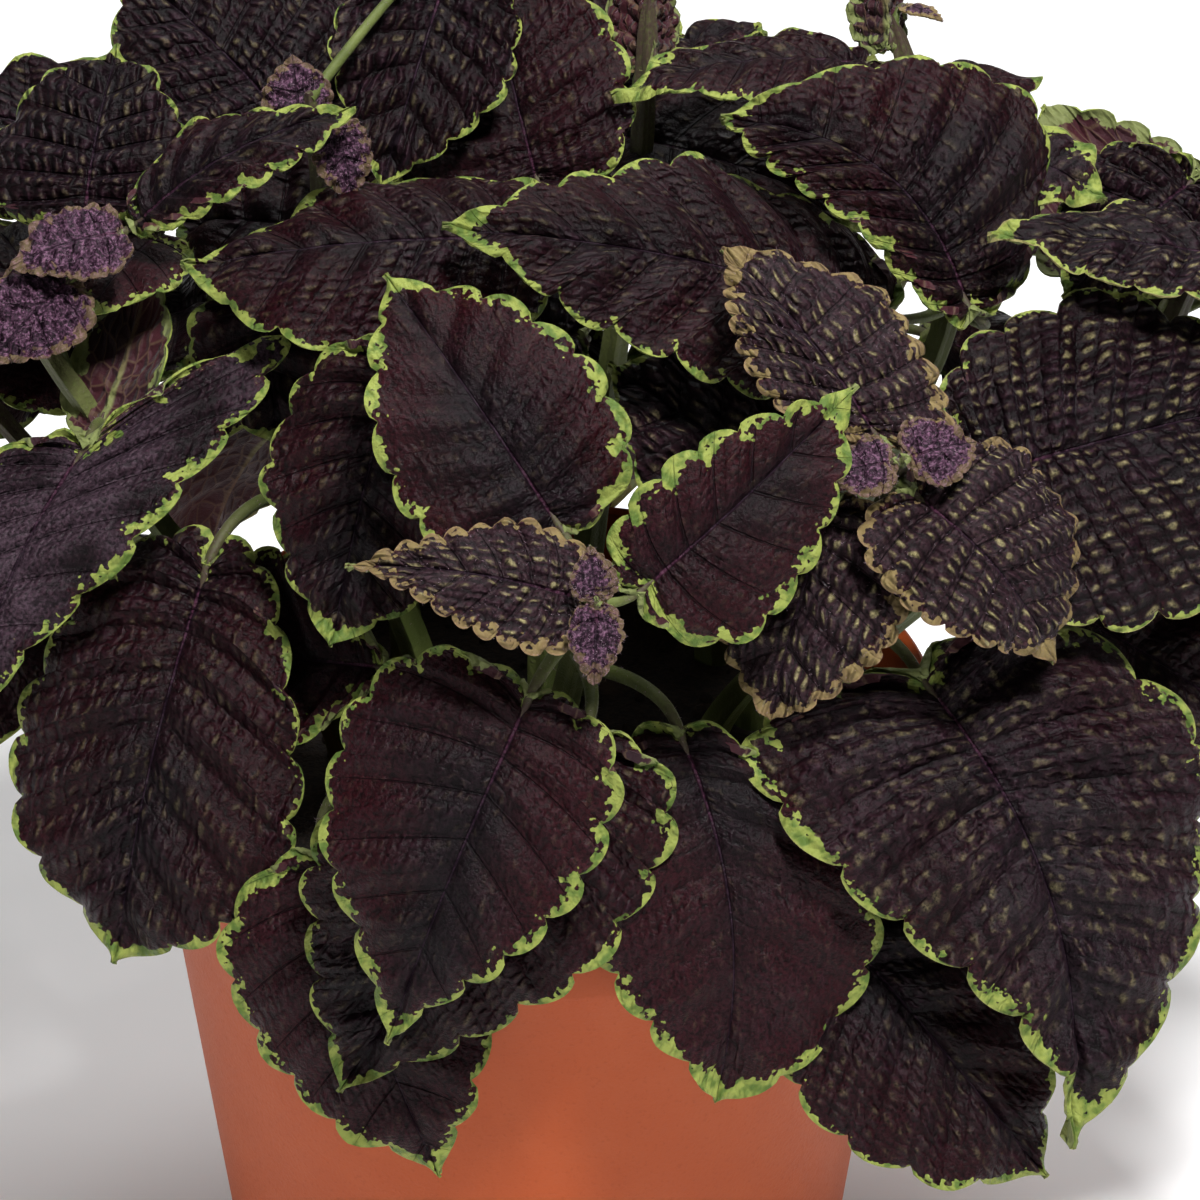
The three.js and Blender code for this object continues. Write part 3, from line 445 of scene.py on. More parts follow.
def nodePoint(leaf):
    # where the stalk leaves the stem, chosen from a few places on each stretch of it
    line = stemLine(leaf["shoot"], stemForm["steps"])
    best, found, places = math.inf, None, stalkForm["places"]
    for i in range(2, len(line)):
        for k in range(1, places + 1):
            share = stalkForm["topNode"] if k == places and i == len(line) - 1 else k / places
            point = line[i - 1] + (line[i] - line[i - 1]) * share
            gap = np.linalg.norm(point - leaf["base"])
            gap += abs(leaf["base"][2] - stalkForm["below"] - point[2]) / 2
            if gap < best:
                best, found = gap, point
    return found


def stalkPoints(leaf):
    node, base = nodePoint(leaf), leaf["base"]
    way = unit(leaf["tip"] - base)
    middle = base - way * stalkForm["lead"] * np.linalg.norm(node - base)
    middle = (middle + (node - middle) * stalkForm["pull"]) * 2 - (node + base) / 2
    share = np.linspace(0, 1, stalkForm["steps"] + 1)[:, None]
    return (1 - share) ** 2 * node + 2 * share * (1 - share) * middle + share ** 2 * base


def tooth(s, count):
    fade = np.clip(s / bladeForm["baseFade"], 0, 1) * np.clip((1 - s) / bladeForm["tipFade"], 0, 1)
    phase = ((s * count) % 1) ** bladeForm["toothSkew"]
    return bladeForm["toothDepth"] * fade * np.abs(np.sin(np.pi * phase)) ** bladeForm["toothRound"]


def halfOutline(leaf, ratio, hand, s):
    form = bladeForm
    rounded, point = leaf["round"], leaf["point"] * (1 - leaf["fuller"] * hand)
    u = (np.arange(form["outlineSteps"] + 1) / form["outlineSteps"]) ** form["spacing"]
    widest = rounded / (rounded + point)
    bulge = u ** rounded * (1 - u) ** point / (widest ** rounded * (1 - widest) ** point)
    lobeTurn = np.pi * np.minimum(1, (u / form["lobeEnd"]) ** form["lobeSkew"])
    lobe = leaf["heart"] * (1 + leaf["lopsided"] * hand) * np.sin(lobeTurn)
    raw = np.column_stack([u - lobe, bulge * ratio * (1 + leaf["lean"] * hand) / 2])
    run = along(raw)
    return [np.interp(np.clip(s, 0, 1) * run[-1], run, raw[:, axis]) for axis in (0, 1)]


def flatBlade(leaf, s, t, lobes):
    # the blade laid flat, in millimetres: s runs along the margin from base to tip, t from side to side
    length = np.linalg.norm(leaf["tip"] - leaf["base"]) * (1 + bladeForm["archStretch"] * leaf["arch"] ** 2)
    ratio = leaf["width"] / length
    bump = tooth(s, lobes)
    a, hand = np.abs(t), np.where(t > 0, 1, -1)
    xEdge, yEdge = np.zeros(s.shape), np.zeros(s.shape)
    for half in (-1, 1):
        x, y = halfOutline(leaf, ratio, half, s)
        xNext, yNext = halfOutline(leaf, ratio, half, s + bladeForm["nextStep"])
        xLast, yLast = halfOutline(leaf, ratio, half, s - bladeForm["nextStep"])
        run = np.hypot(xNext - xLast, yNext - yLast) + tiny
        xEdge = np.where(hand == half, (x - (yNext - yLast) / run * bump) * length, xEdge)
        yEdge = np.where(hand == half, (y + (xNext - xLast) / run * bump) * length, yEdge)
    lead = s ** bladeForm["veinLead"] * length
    fade = (1 - s) * np.clip(s * bladeForm["sweepFade"], 0, 1)
    sweep = bladeForm["veinSweep"] * length * np.sin(np.pi * a) * fade
    x = lead * (1 - a) + xEdge * a - sweep - leaf["skew"] * hand * yEdge * a
    return x, yEdge * a * np.sign(t), length


def bendBlade(leaf, x, y, length, lift):
    chord = leaf["tip"] - leaf["base"]
    span = np.linalg.norm(chord)
    way = unit(chord)
    face = unit(leaf["face"] - way * (leaf["face"] @ way))
    side = np.cross(face, way)
    k = x / length
    kept = np.clip(k, 0, bladeForm["archEnd"])
    arch = leaf["arch"]
    bulge = 4 * kept * (1 - kept) + 4 * np.minimum(0, k)
    slope = np.arctan(4 * arch * (1 - 2 * kept))[..., None]
    up = face * np.cos(slope) - way * np.sin(slope)
    fold, curl = math.radians(leaf["fold"]), math.radians(leaf["curl"])
    share = np.abs(y) / (leaf["width"] / 2)
    tilt = fold - curl * share / 2
    lean = np.where(y == 0, 0, fold - curl * share)
    hand = np.sign(y)
    across = hand * (np.abs(y) * np.cos(tilt) - lift * np.sin(lean))
    upward = np.abs(y) * np.sin(tilt) + lift * np.cos(lean)
    return (
        leaf["base"] + way * (k * span)[..., None]
        + (face * arch + side * leaf["bow"]) * (bulge * span)[..., None]
        + side * across[..., None] + up * upward[..., None])


# relief of a blade in millimetres, and how finely it is divided
relief = dict(
    midrib=0.8, midribWidth=1.2, fadeFrom=1.15, fadeLeast=0.25, vein=0.6, veinWidth=1.0, veinStart=6,
    veinAtMargin=0.35, panelRound=0.7, edgeWaves=2.3, smallWaves=4.1, smallWave=0.6, toothCup=0.5,
    fullWidth=40, smallBump=0.45, thin=0.42, rib=1.25, ribWidth=0.9, sideRib=0.45, sideRibWidth=0.7,
    sideRibStart=8, sideRibFade=0.7, ribSteps=8)
division = dict(
    spacing=1.0, behind=1.35, tip=0.6, stretch=1.15, leastRows=6, leastColumns=12, finer=1.25,
    cellLength=3.1, cellShift=5, seed=7.31, seedAlong=11, seedAcross=5, weld=0.02)


def veinGap(s, x, y, teeth):
    # distance to the nearest side vein, which ends in the middle of a tooth
    phase = (s * teeth) % 1
    gap = np.abs(phase - 0.5) / teeth
    gap = np.where(s * teeth < 0.5, (0.5 - s * teeth) / teeth, gap)
    sx, sy = (np.gradient(value, axis=0) / np.gradient(s, axis=0) for value in (x, y))
    tx, ty = (np.gradient(value, axis=1) for value in (x, y))
    across = np.abs(sx * ty - sy * tx) / (np.hypot(tx, ty) + tiny)
    return gap * across, phase


def edgeGap(x, y):
    # distance to the margin, from a close row of points along it
    gap = np.full(x.shape, np.inf)
    for side in (0, -1):
        for xRim, yRim in zip(x[:, side], y[:, side]):
            gap = np.minimum(gap, np.hypot(x - xRim, y - yRim))
    return gap


def bladeRelief(leaf, grid, lobes, size, seed):
    # the height of the upper side, and how much of the full thickness each point has
    form, look = relief, looks[leaf["look"]]
    s, t, x, y, k, side, phase, edge = grid
    a = np.abs(t)
    fade = np.clip(form["fadeFrom"] - k, form["fadeLeast"], 1)
    ribDip = np.exp(-(np.abs(y) / form["midribWidth"]) ** 2)
    veinFade = form["veinAtMargin"] + (1 - form["veinAtMargin"]) * (1 - a)
    veinDip = np.exp(-(side / form["veinWidth"]) ** 2) * np.clip(a * form["veinStart"], 0, 1) * veinFade
    height = -form["midrib"] * size * ribDip * fade - form["vein"] * size * veinDip
    panel = np.sin(np.pi * phase + np.pi / 2) ** 2 * np.sin(np.pi * a) ** form["panelRound"]
    height += look["panel"] * size * panel
    wave = np.sin(2 * np.pi * form["edgeWaves"] * s + seed)
    wave += form["smallWave"] * np.sin(2 * np.pi * form["smallWaves"] * s - 2 * seed * np.sign(t))
    height += look["wave"] * size * wave * a ** 3
    height -= form["toothCup"] * size * np.cos(2 * np.pi * lobes * s) * a ** 6
    if look["age"] >= ages["young"]:
        depth = crinkles["depth"] if look["age"] > ages["tip"] else crinkles["young"]
        turns = 2 * np.pi / crinkles["across"]
        sway = crinkles["sway"] * np.sin(turns * crinkles["swayPitch"] * y + seed)
        folds = np.sin(turns * x + sway) * np.cos(turns * crinkles["asidePitch"] * y + 2 * seed)
        inside = np.clip(edge / crinkles["edge"] + crinkles["least"], 0, 1) * (1 - ribDip)
        height += depth * min(1, leaf["width"] / crinkles["fullWidth"]) * folds * inside
    raised = np.exp(-(np.abs(y) / form["ribWidth"]) ** 2) * fade * size
    sideRib = form["sideRib"] * size * np.exp(-(side / form["sideRibWidth"]) ** 2)
    sideRib *= (1 - form["sideRibFade"] * a) * np.clip(a * form["sideRibStart"], 0, 1)
    return height, np.maximum(raised, sideRib)


def makeBlade(leaf):
    look, form = looks[leaf["look"]], division
    lobes = round(leaf["teeth"] * lobeShare.get(leaf["look"], 1))
    behind = leaf["shoot"] in ("back", "backLeft", "backRight", "farLeft")
    spacing = form["behind" if behind else "spacing"] * (form["tip"] if look["age"] > ages["tip"] else 1)
    length = np.linalg.norm(leaf["tip"] - leaf["base"])
    leastRows = form["leastRows"] * (2 if lobes > leaf["teeth"] else 1)
    rows = leaf["teeth"] * max(leastRows, round(form["stretch"] * length / leaf["teeth"] / spacing))
    columns = max(form["leastColumns"], 2 * round(leaf["width"] / 2 / spacing / form["stretch"]))
    bpy.ops.mesh.primitive_grid_add(x_subdivisions=rows, y_subdivisions=columns, size=2)
    piece = bpy.context.object
    mesh = piece.data
    flat = readAll(mesh.vertices, "co")
    count = len(flat)
    order = np.lexsort((flat[:, 1].round(5), flat[:, 0].round(5)))
    s = ((flat[order, 0] + 1) / 2).reshape(rows + 1, columns + 1)
    t = flat[order, 1].reshape(rows + 1, columns + 1)
    t = np.sign(t) * (1 - (1 - np.abs(t)) ** form["finer"])     # finer toward the margin
    x, y, longWay = flatBlade(leaf, s, t, lobes)
    k = x / longWay
    seed = leaf["number"] * form["seed"]
    cellRows = max(1, round(form["stretch"] * length / leaf["teeth"] / form["cellLength"]))
    start = s ** bladeForm["veinLead"] * longWay     # where the side vein of each point leaves the midrib
    cellAlong = np.sign(t) * np.hypot(x - start, y) / look["pitch"] + leaf["number"] * form["cellShift"]
    cellAcross = (s * leaf["teeth"] - 0.5) * cellRows
    side, phase = veinGap(s, x, y, leaf["teeth"])
    edge = edgeGap(x, y)
    size = min(1, leaf["width"] / relief["fullWidth"])
    height, raised = bladeRelief(leaf, (s, t, x, y, k, side, phase, edge), lobes, size, seed)
    place = bendBlade(leaf, x, y, longWay, height + relief["thin"] / 2)
    final = np.empty((count, 3))
    final[order] = place.reshape(-1, 3) * mm
    mesh.vertices.foreach_set("co", final.ravel())

    def keep(name, *layers):
        values = np.empty((count, 3))
        values[order] = np.stack([np.broadcast_to(layer, s.shape).ravel() for layer in layers], axis=1)
        mesh.attributes.new(name, "FLOAT_VECTOR", "POINT").data.foreach_set("vector", values.ravel())

    bump = look["bump"] * (relief["smallBump"] + (1 - relief["smallBump"]) * size)
    keep("leafFlat", x + seed * form["seedAlong"], y + seed * form["seedAcross"], seed)
    keep("leafEdge", edge / look["band"], side, np.abs(y))
    keep("leafForm", k, np.abs(t), np.abs(s * lobes % 1 - 0.5) * 2)
    keep("leafCell", cellAlong, cellAcross, look["bloomAndSheen"])
    keep("leafKind", look["age"], look["red"], look["speck"])
    keep("leafTint", look["quilt"], bump, look["order"])
    ribs = piece.vertex_groups.new(name="ribs")
    ribShare = np.empty(count)
    ribShare[order] = raised.ravel()
    level = (ribShare * relief["ribSteps"]).round().astype(int)
    for step in range(relief["ribSteps"] + 1):
        chosen = np.nonzero(level == step)[0].tolist()
        if chosen:
            ribs.add(chosen, step / relief["ribSteps"], "REPLACE")
    mesh.update()
    pick(piece)
    bpy.ops.object.mode_set(mode="EDIT")
    bpy.ops.mesh.select_all(action="SELECT")
    bpy.ops.mesh.remove_doubles(threshold=form["weld"] * mm)
    bpy.ops.object.mode_set(mode="OBJECT")
    mesh.materials.append(leafTop)
    mesh.materials.append(leafUnder)
    applyModifier(
        piece, "SOLIDIFY", thickness=relief["rib"] * mm, offset=-1, vertex_group="ribs",
        thickness_vertex_group=relief["thin"] / relief["rib"], material_offset=1, material_offset_rim=0)
    piece.vertex_groups.clear()
    piece.name = leaf["shoot"] + leaf["name"].title()
    return piece


def makeTubes(name, lines, section=None):
    # one tube for each line of (x, y, z, radius) rows
    curve = bpy.data.curves.new(name, "CURVE")
    curve.dimensions = "3D"
    curve.use_fill_caps = True
    curve.twist_mode = "MINIMUM"
    if section:
        curve.bevel_mode = "OBJECT"
        curve.bevel_object = section
    else:
        curve.bevel_depth = mm
        curve.bevel_resolution = stalkForm["roundness"]
    for line in lines:
        spline = curve.splines.new("POLY")
        spline.points.add(len(line) - 1)
        for point, (x, y, z, radius) in zip(spline.points, line):
            point.co = (x * mm, y * mm, z * mm, 1)
            point.radius = radius
    piece = bpy.data.objects.new(name, curve)
    scene.collection.objects.link(piece)
    pick(piece)
    bpy.ops.object.convert(target="MESH")
    return bpy.context.object


def stemSection():
    # a square with round corners and slightly hollow sides, about one millimetre from its middle to a corner
    curve = bpy.data.curves.new("stemSection", "CURVE")
    curve.dimensions = "2D"
    spline = curve.splines.new("POLY")
    spline.points.add(stemForm["sectionPoints"] - 1)
    spline.use_cyclic_u = True
    for i, point in enumerate(spline.points):
        angle = 2 * math.pi * i / stemForm["sectionPoints"]
        reach = stemForm["sectionMiddle"] + stemForm["sectionCorner"] * math.cos(4 * angle)
        point.co = (reach * math.cos(angle) * mm, reach * math.sin(angle) * mm, 0, 1)
    section = bpy.data.objects.new("stemSection", curve)
    scene.collection.objects.link(section)
    return section


def makeStem(shoot, nodes, section):
    form = stemForm
    line = stemLine(shoot, form["fineSteps"])
    run = along(line)
    share = np.clip((run - run[1]) / (run[-1] - run[1]), 0, 1)
    radius = form["foot"] + (form["tip"] - form["foot"]) * share
    radius = radius * np.clip(form["pointLeast"] + (run[-1] - run) / form["point"], 0, 1)
    for node in nodes:
        gap = np.linalg.norm(line - node, axis=1)
        radius = radius + form["nodeSwell"] * np.exp(-(gap / form["nodeReach"]) ** 2) * radius / form["foot"]
    path = np.column_stack([line, radius])
    return makeTubes(shoot + "Stem", [path], section), path


def makeStalk(leaf):
    form = stalkForm
    line = stalkPoints(leaf)
    size = np.clip(leaf["width"] / form["fullWidth"], form["least"], form["most"])
    if leaf["small"]:
        size = form["small"]
    radius = np.linspace(form["node"], form["end"], len(line)) * size * form["slim"]
    # it runs on under the midrib, thinner and thinner
    length = np.linalg.norm(leaf["tip"] - leaf["base"])
    depth = np.array(form["ribDepth"]) * size
    onRib = bendBlade(leaf, np.array(form["ribReach"]) * length, np.zeros(3), length, depth)
    return np.vstack([
        np.column_stack([line, radius]),
        np.column_stack([onRib, form["end"] * size * np.array(form["ribRadius"])])])


# finishes: small helpers, shared groups, then one material for each surface


def feed(socket, value):
    if isinstance(value, bpy.types.NodeSocket):
        socket.id_data.links.new(value, socket)
    elif socket.type == "RGBA" and len(value) == 3:
        socket.default_value = (*value, 1)
    else:
        socket.default_value = value


def treeOf(values):
    return next(value.id_data for value in values if isinstance(value, bpy.types.NodeSocket))


def addNode(tree, kind, settings=None, **inputs):
    node = tree.nodes.new("ShaderNode" + kind)
    for name, value in (settings or {}).items():
        setattr(node, name, value)
    for name, value in inputs.items():
        feed(node.inputs[name], value)
    return node


def calc(operation, *values):
    node = addNode(treeOf(values), "Math", dict(operation=operation))
    for socket, value in zip(node.inputs, values):
        feed(socket, value)
    return node.outputs[0]


def times(value, *others):
    for other in others:
        value = calc("MULTIPLY", value, other)
    return value


def timesPlus(*values):
    return calc("MULTIPLY_ADD", *values)


def minus(*values):
    return calc("SUBTRACT", *values)


def ease(value, low, high):
    node = addNode(value.id_data, "MapRange", dict(interpolation_type="SMOOTHSTEP"), Value=value)
    node.inputs["From Min"].default_value = low
    node.inputs["From Max"].default_value = high
    return node.outputs["Result"]


def mix(*values):
    # the share of the second colour, the first colour, the second colour
    node = addNode(treeOf(values), "Mix", dict(data_type="RGBA"))
    for socket, value in zip((node.inputs[0], node.inputs[6], node.inputs[7]), values):
        feed(socket, value)
    return node.outputs[2]


def wash(base, color, *shares):
    # a colour laid over the base, as much as all the shares multiplied
    return mix(times(*shares), base, color)


def layer(tree, name):
    source = addNode(tree, "Attribute", dict(attribute_name=name))
    parts = addNode(tree, "SeparateXYZ", Vector=source.outputs["Vector"])
    return [source.outputs["Vector"], *parts.outputs]


def noise(place, scale, detail=2.0, roughness=0.5):
    node = addNode(place.id_data, "TexNoise", Vector=place, Scale=scale, Detail=detail, Roughness=roughness)
    return node.outputs["Fac"]


def objectPlace(tree):
    # Object coordinates in millimetres
    source = addNode(tree, "TexCoord")
    scaled = addNode(tree, "VectorMath", dict(operation="SCALE"), Scale=1 / mm)
    feed(scaled.inputs[0], source.outputs["Object"])
    return scaled.outputs["Vector"]


def newGroup(name, inputs, outputs):
    group = bpy.data.node_groups.new(name, "ShaderNodeTree")
    for label in inputs:
        group.interface.new_socket(label, in_out="INPUT", socket_type="NodeSocketFloat")
    for label in outputs:
        group.interface.new_socket(label, in_out="OUTPUT", socket_type="NodeSocketFloat")
    return group, group.nodes.new("NodeGroupInput").outputs, group.nodes.new("NodeGroupOutput").inputs


def useGroup(tree, group, **inputs):
    node = tree.nodes.new("ShaderNodeGroup")
    node.node_tree = group
    for name, value in inputs.items():
        feed(node.inputs[name], value)
    return node.outputs


def makeVeinGroup():
    # where the midrib and the side veins run
    group, given, out = newGroup("leafVeins", ["RibReach", "VeinReach"], ["Rib", "Vein"])
    fromVein, fromRib = layer(group, "leafEdge")[2:]
    along, aside = layer(group, "leafForm")[1:3]
    ribWidth = times(given["RibReach"], minus(1.15, along))
    feed(out["Rib"], ease(calc("DIVIDE", fromRib, ribWidth), 1.0, 0.35))
    veinWidth = times(given["VeinReach"], minus(1.1, aside))
    feed(out["Vein"], ease(calc("DIVIDE", fromVein, veinWidth), 1.0, 0.2))
    return group


def makeQuiltGroup():
    # puckers between the veins: rows of beads on young leaves, uneven swellings on grown ones
    group, given, out = newGroup("leafQuilt", ["Order"], ["Dome", "CreaseShade", "Chance"])
    cell = layer(group, "leafCell")[0]
    shake = addNode(group, "TexNoise", Vector=cell, Scale=0.7, Detail=1)
    shift = addNode(group, "VectorMath", dict(operation="MULTIPLY_ADD"))
    shift.inputs[1].default_value = (1.2, 0.5, 0)
    feed(shift.inputs[0], shake.outputs["Color"])
    feed(shift.inputs[2], cell)
    parts = addNode(group, "SeparateXYZ", Vector=shift.outputs["Vector"])
    rung = timesPlus(calc("SINE", times(parts.outputs[0], 2 * math.pi)), 0.5, 0.5)
    depth = ease(given["Order"], 0.0, 0.85)
    rung = minus(1.0, times(depth, minus(1.0, rung)))
    panel = calc("ABSOLUTE", calc("SINE", times(parts.outputs[1], math.pi)))
    beads = times(rung, calc("POWER", panel, 0.7))
    stretch = addNode(group, "VectorMath", dict(operation="MULTIPLY"))
    stretch.inputs[1].default_value = (1, 1.7, 0)
    feed(stretch.inputs[0], shift.outputs["Vector"])
    swell = ease(noise(stretch.outputs["Vector"], 0.95, 1), 0.36, 0.66)
    dome = addNode(group, "Mix", dict(data_type="FLOAT"), Factor=given["Order"], A=swell, B=beads)
    feed(out["Dome"], dome.outputs[0])
    # the creases between puckers, which the top finish darkens as painted shade
    feed(out["CreaseShade"], ease(dome.outputs[0], 0.3, 0.0))
    feed(out["Chance"], ease(noise(cell, 0.43, 1), 0.3, 0.7))
    return group


def makeNetGroup():
    # the fine net of veins on the under side
    group, given, out = newGroup("leafNet", ["Scale"], ["Line", "Dome"])
    cell = layer(group, "leafCell")[0]
    border = addNode(
        group, "TexVoronoi", dict(voronoi_dimensions="2D", feature="DISTANCE_TO_EDGE"), Vector=cell,
        Scale=given["Scale"], Randomness=0.7)
    feed(out["Line"], ease(border.outputs["Distance"], 0.09, 0.02))
    feed(out["Dome"], ease(border.outputs["Distance"], 0.0, 0.34))
    return group


def makeMarginGroup():
    # the pale band along the margin: it fills the teeth, ends in drops and dots inside and misses the notches
    group, given, out = newGroup("leafMargin", ["Width", "Ragged"], ["Band", "Rim", "Line"])
    fromEdge = layer(group, "leafEdge")[1]
    flat = layer(group, "leafFlat")[0]
    along, notch = layer(group, "leafForm")[1::2]
    broad = ease(noise(flat, 0.06, 1), 0.3, 0.7)
    width = times(given["Width"], timesPlus(broad, 1.0, 0.5))
    tooth = timesPlus(calc("POWER", notch, 2), -1.05, 1.15)
    tip = ease(along, 0.8, 1.0)
    width = times(width, timesPlus(tip, 1.5, tooth))
    drops = minus(noise(flat, 0.62, 1.5), 0.5)
    reach = minus(timesPlus(drops, given["Ragged"], width), fromEdge)
    solid = minus(times(width, 0.5), fromEdge)
    reach = calc("MAXIMUM", reach, solid)
    fade = ease(fromEdge, 6.5, 4.0)
    feed(out["Band"], times(ease(reach, -0.1, 0.25), fade))
    feed(out["Rim"], ease(fromEdge, 0.55, 0.1))
    line = times(ease(reach, -1.8, -0.1), ease(notch, 0.2, 0.9))
    feed(out["Line"], line)
    return group


def makeGrainGroup():
    # fine uneven grain, used on every surface at its own scale
    group, given, out = newGroup("fineGrain", ["Scale"], ["Height", "Patches"])
    place = objectPlace(group)
    feed(out["Height"], noise(place, given["Scale"], 4, 0.6))
    broad = times(given["Scale"], 0.07)
    feed(out["Patches"], noise(place, broad, 2))
    return group


leafVeins = makeVeinGroup()
leafQuilt = makeQuiltGroup()
leafNet = makeNetGroup()
leafMargin = makeMarginGroup()
fineGrain = makeGrainGroup()


def newFinish(name, **values):
    paint = bpy.data.materials.new(name)
    paint.use_nodes = True
    tree = paint.node_tree
    shader = tree.nodes["Principled BSDF"]
    for label, value in values.items():
        shader.inputs[label].default_value = value
    return paint, tree, shader


def setLook(shader, color, height, distance=mm):
    # distance is how many metres a height of 1 stands for
    feed(shader.inputs["Base Color"], color)
    bump = addNode(shader.id_data, "Bump", Height=height, Distance=distance)
    feed(shader.inputs["Normal"], bump.outputs["Normal"])


# leaf-top colours: dusk is a painted highlight on the pucker crests, bloom the velvet's grey tone with a
# painted sheen, speck pale cells with a painted highlight on the crests, and vein also the painted shade in
# the creases
topColors = dict(
    plum=(0.0024, 0.0009, 0.0015), maroon=(0.015, 0.0014, 0.0026), dusk=(0.025, 0.0115, 0.017),
    bloomAndSheen=(0.04, 0.0245, 0.0335), brown=(0.023, 0.0115, 0.0145), violet=(0.042, 0.019, 0.035),
    frost=(0.16, 0.08, 0.13), speck=(0.23, 0.2, 0.095), vein=(0.0014, 0.0007, 0.001),
    ribBase=(0.14, 0.16, 0.06), ribPink=(0.05, 0.016, 0.032), ribDark=(0.018, 0.0085, 0.0155),
    lime=(0.245, 0.285, 0.065), deepLime=(0.085, 0.135, 0.028), rim=(0.3, 0.26, 0.11),
    tan=(0.19, 0.105, 0.062), line=(0.045, 0.009, 0.012))


def leafTopFinish():
    color = topColors
    paint, tree, shader = newFinish("leafTop", **{
        "Sheen Weight": 0.012, "Sheen Roughness": 0.35, "Sheen Tint": (0.85, 0.6, 0.85, 1),
        "Specular IOR Level": 0.1})
    flat = layer(tree, "leafFlat")[0]
    along, aside = layer(tree, "leafForm")[1:3]
    age, red, speck = layer(tree, "leafKind")[1:]
    quilt, bump, order = layer(tree, "leafTint")[1:]
    veins = useGroup(tree, leafVeins, RibReach=0.5, VeinReach=0.45)
    cells = useGroup(tree, leafQuilt, Order=order)
    patch = noise(flat, 0.025, 1)
    broader = timesPlus(ease(patch, 0.35, 0.65), 0.9, 1.5)
    margin = useGroup(tree, leafMargin, Width=broader, Ragged=8.5)
    velvet = useGroup(tree, fineGrain, Scale=1.4)
    cloud = noise(flat, 0.03, 2)
    patches = ease(noise(flat, 0.09, 2), 0.38, 0.64)
    bloomAndSheen = layer(tree, "leafCell")[3]
    outward = timesPlus(aside, 0.35, cloud)
    base = mix(times(red, ease(outward, 0.4, 0.85)), color["plum"], color["maroon"])
    # the grey bloom in soft patches, less toward the margin: the velvet's grey tone and a painted sheen
    softly = ease(minus(noise(flat, 0.05, 2), times(aside, 0.25)), 0.15, 0.5)
    base = wash(base, color["bloomAndSheen"], bloomAndSheen, softly)
    base = wash(base, color["brown"], ease(age, 0.1, 0.5))
    base = wash(base, color["violet"], ease(age, 0.5, 1.0))
    # painted highlight: the dusk colour lightens the crests of the puckers, in broad patches
    raised = times(ease(cells["Dome"], 0.1, 1.0), timesPlus(patches, 0.75, 0.25))
    base = wash(base, color["dusk"], raised, quilt)
    frost = times(ease(age, 0.6, 1.0), ease(velvet["Height"], 0.45, 0.65))
    base = wash(base, color["frost"], frost, 0.5)
    # pale specks on the pucker crests: partly the leaf's pale cells, partly a painted highlight
    spots = times(ease(cells["Dome"], 0.45, 1.0), ease(cells["Chance"], 0.1, 0.8))
    spots = times(spots, ease(noise(flat, 0.4, 2), 0.32, 0.6))
    base = wash(base, color["speck"], spots, speck, 0.85)
    # painted shade: the creases between the puckers darkened with the vein colour
    base = wash(base, color["vein"], cells["CreaseShade"], 0.75)
    veinShare = timesPlus(bloomAndSheen, -0.45, 0.6)
    base = wash(base, color["vein"], veins["Vein"], veinShare)
    ribColor = mix(ease(along, 0.0, 0.06), color["ribBase"], color["ribPink"])
    ribColor = mix(ease(along, 0.05, 0.35), ribColor, color["ribDark"])
    base = wash(base, ribColor, veins["Rib"], 0.8)
    base = wash(base, color["line"], margin["Line"], 0.35)
    shade = calc("MAXIMUM", timesPlus(velvet["Height"], 4.6, -1.3), 0.2)
    shaded = addNode(tree, "VectorMath", dict(operation="SCALE"), Scale=shade)
    feed(shaded.inputs[0], base)
    band = mix(ease(noise(flat, 0.35, 2), 0.35, 0.6), color["deepLime"], color["lime"])
    band = mix(ease(calc("ADD", margin["Rim"], speck), 1.0, 2.0), band, color["rim"])
    band = mix(times(ease(age, 0.15, 0.5), 0.75), band, color["tan"])
    bandShare = times(margin["Band"], ease(age, 1.25, 0.7))
    base = mix(bandShare, shaded.outputs["Vector"], band)
    rough = timesPlus(cells["Dome"], -0.12, timesPlus(velvet["Height"], 0.3, 0.28))
    feed(shader.inputs["Roughness"], rough)
    # heights in millimetres: puckers, valleys of the veins, fine grain
    height = times(cells["Dome"], times(bump, timesPlus(patches, 0.8, 0.35)))
    height = timesPlus(veins["Vein"], -0.35, height)
    height = timesPlus(veins["Rib"], -0.35, height)
    height = timesPlus(velvet["Height"], 0.4, height)
    setLook(shader, base, height)
    return paint


underColors = dict(
    burgundy=(0.045, 0.008, 0.012), dusk=(0.02, 0.006, 0.01), vein=(0.1, 0.06, 0.035), rib=(0.16, 0.18, 0.06),
    lime=(0.17, 0.2, 0.065))


def leafUnderFinish():
    color = underColors
    paint, tree, shader = newFinish(
        "leafUnder", **{"Sheen Weight": 0.05, "Roughness": 0.6, "Specular IOR Level": 0.2})
    flat = layer(tree, "leafFlat")[0]
    along = layer(tree, "leafForm")[1]
    veins = useGroup(tree, leafVeins, RibReach=1.1, VeinReach=0.8)
    net = useGroup(tree, leafNet, Scale=0.7)
    margin = useGroup(tree, leafMargin, Width=2.4, Ragged=5.0)
    base = mix(ease(noise(flat, 0.05, 2), 0.3, 0.7), color["dusk"], color["burgundy"])
    base = wash(base, color["vein"], net["Line"], 0.55)
    base = wash(base, color["vein"], veins["Vein"], 0.75)
    ribColor = mix(ease(along, 0.1, 0.6), color["rib"], color["vein"])
    base = wash(base, ribColor, veins["Rib"])
    base = wash(base, color["lime"], margin["Band"], 0.85)
    grain = useGroup(tree, fineGrain, Scale=1.3)
    height = timesPlus(net["Dome"], -0.5, times(grain["Height"], 0.3))
    setLook(shader, base, height)
    return paint


stemColors = dict(green=(0.065, 0.085, 0.02), pale=(0.12, 0.145, 0.04), purple=(0.045, 0.016, 0.025))


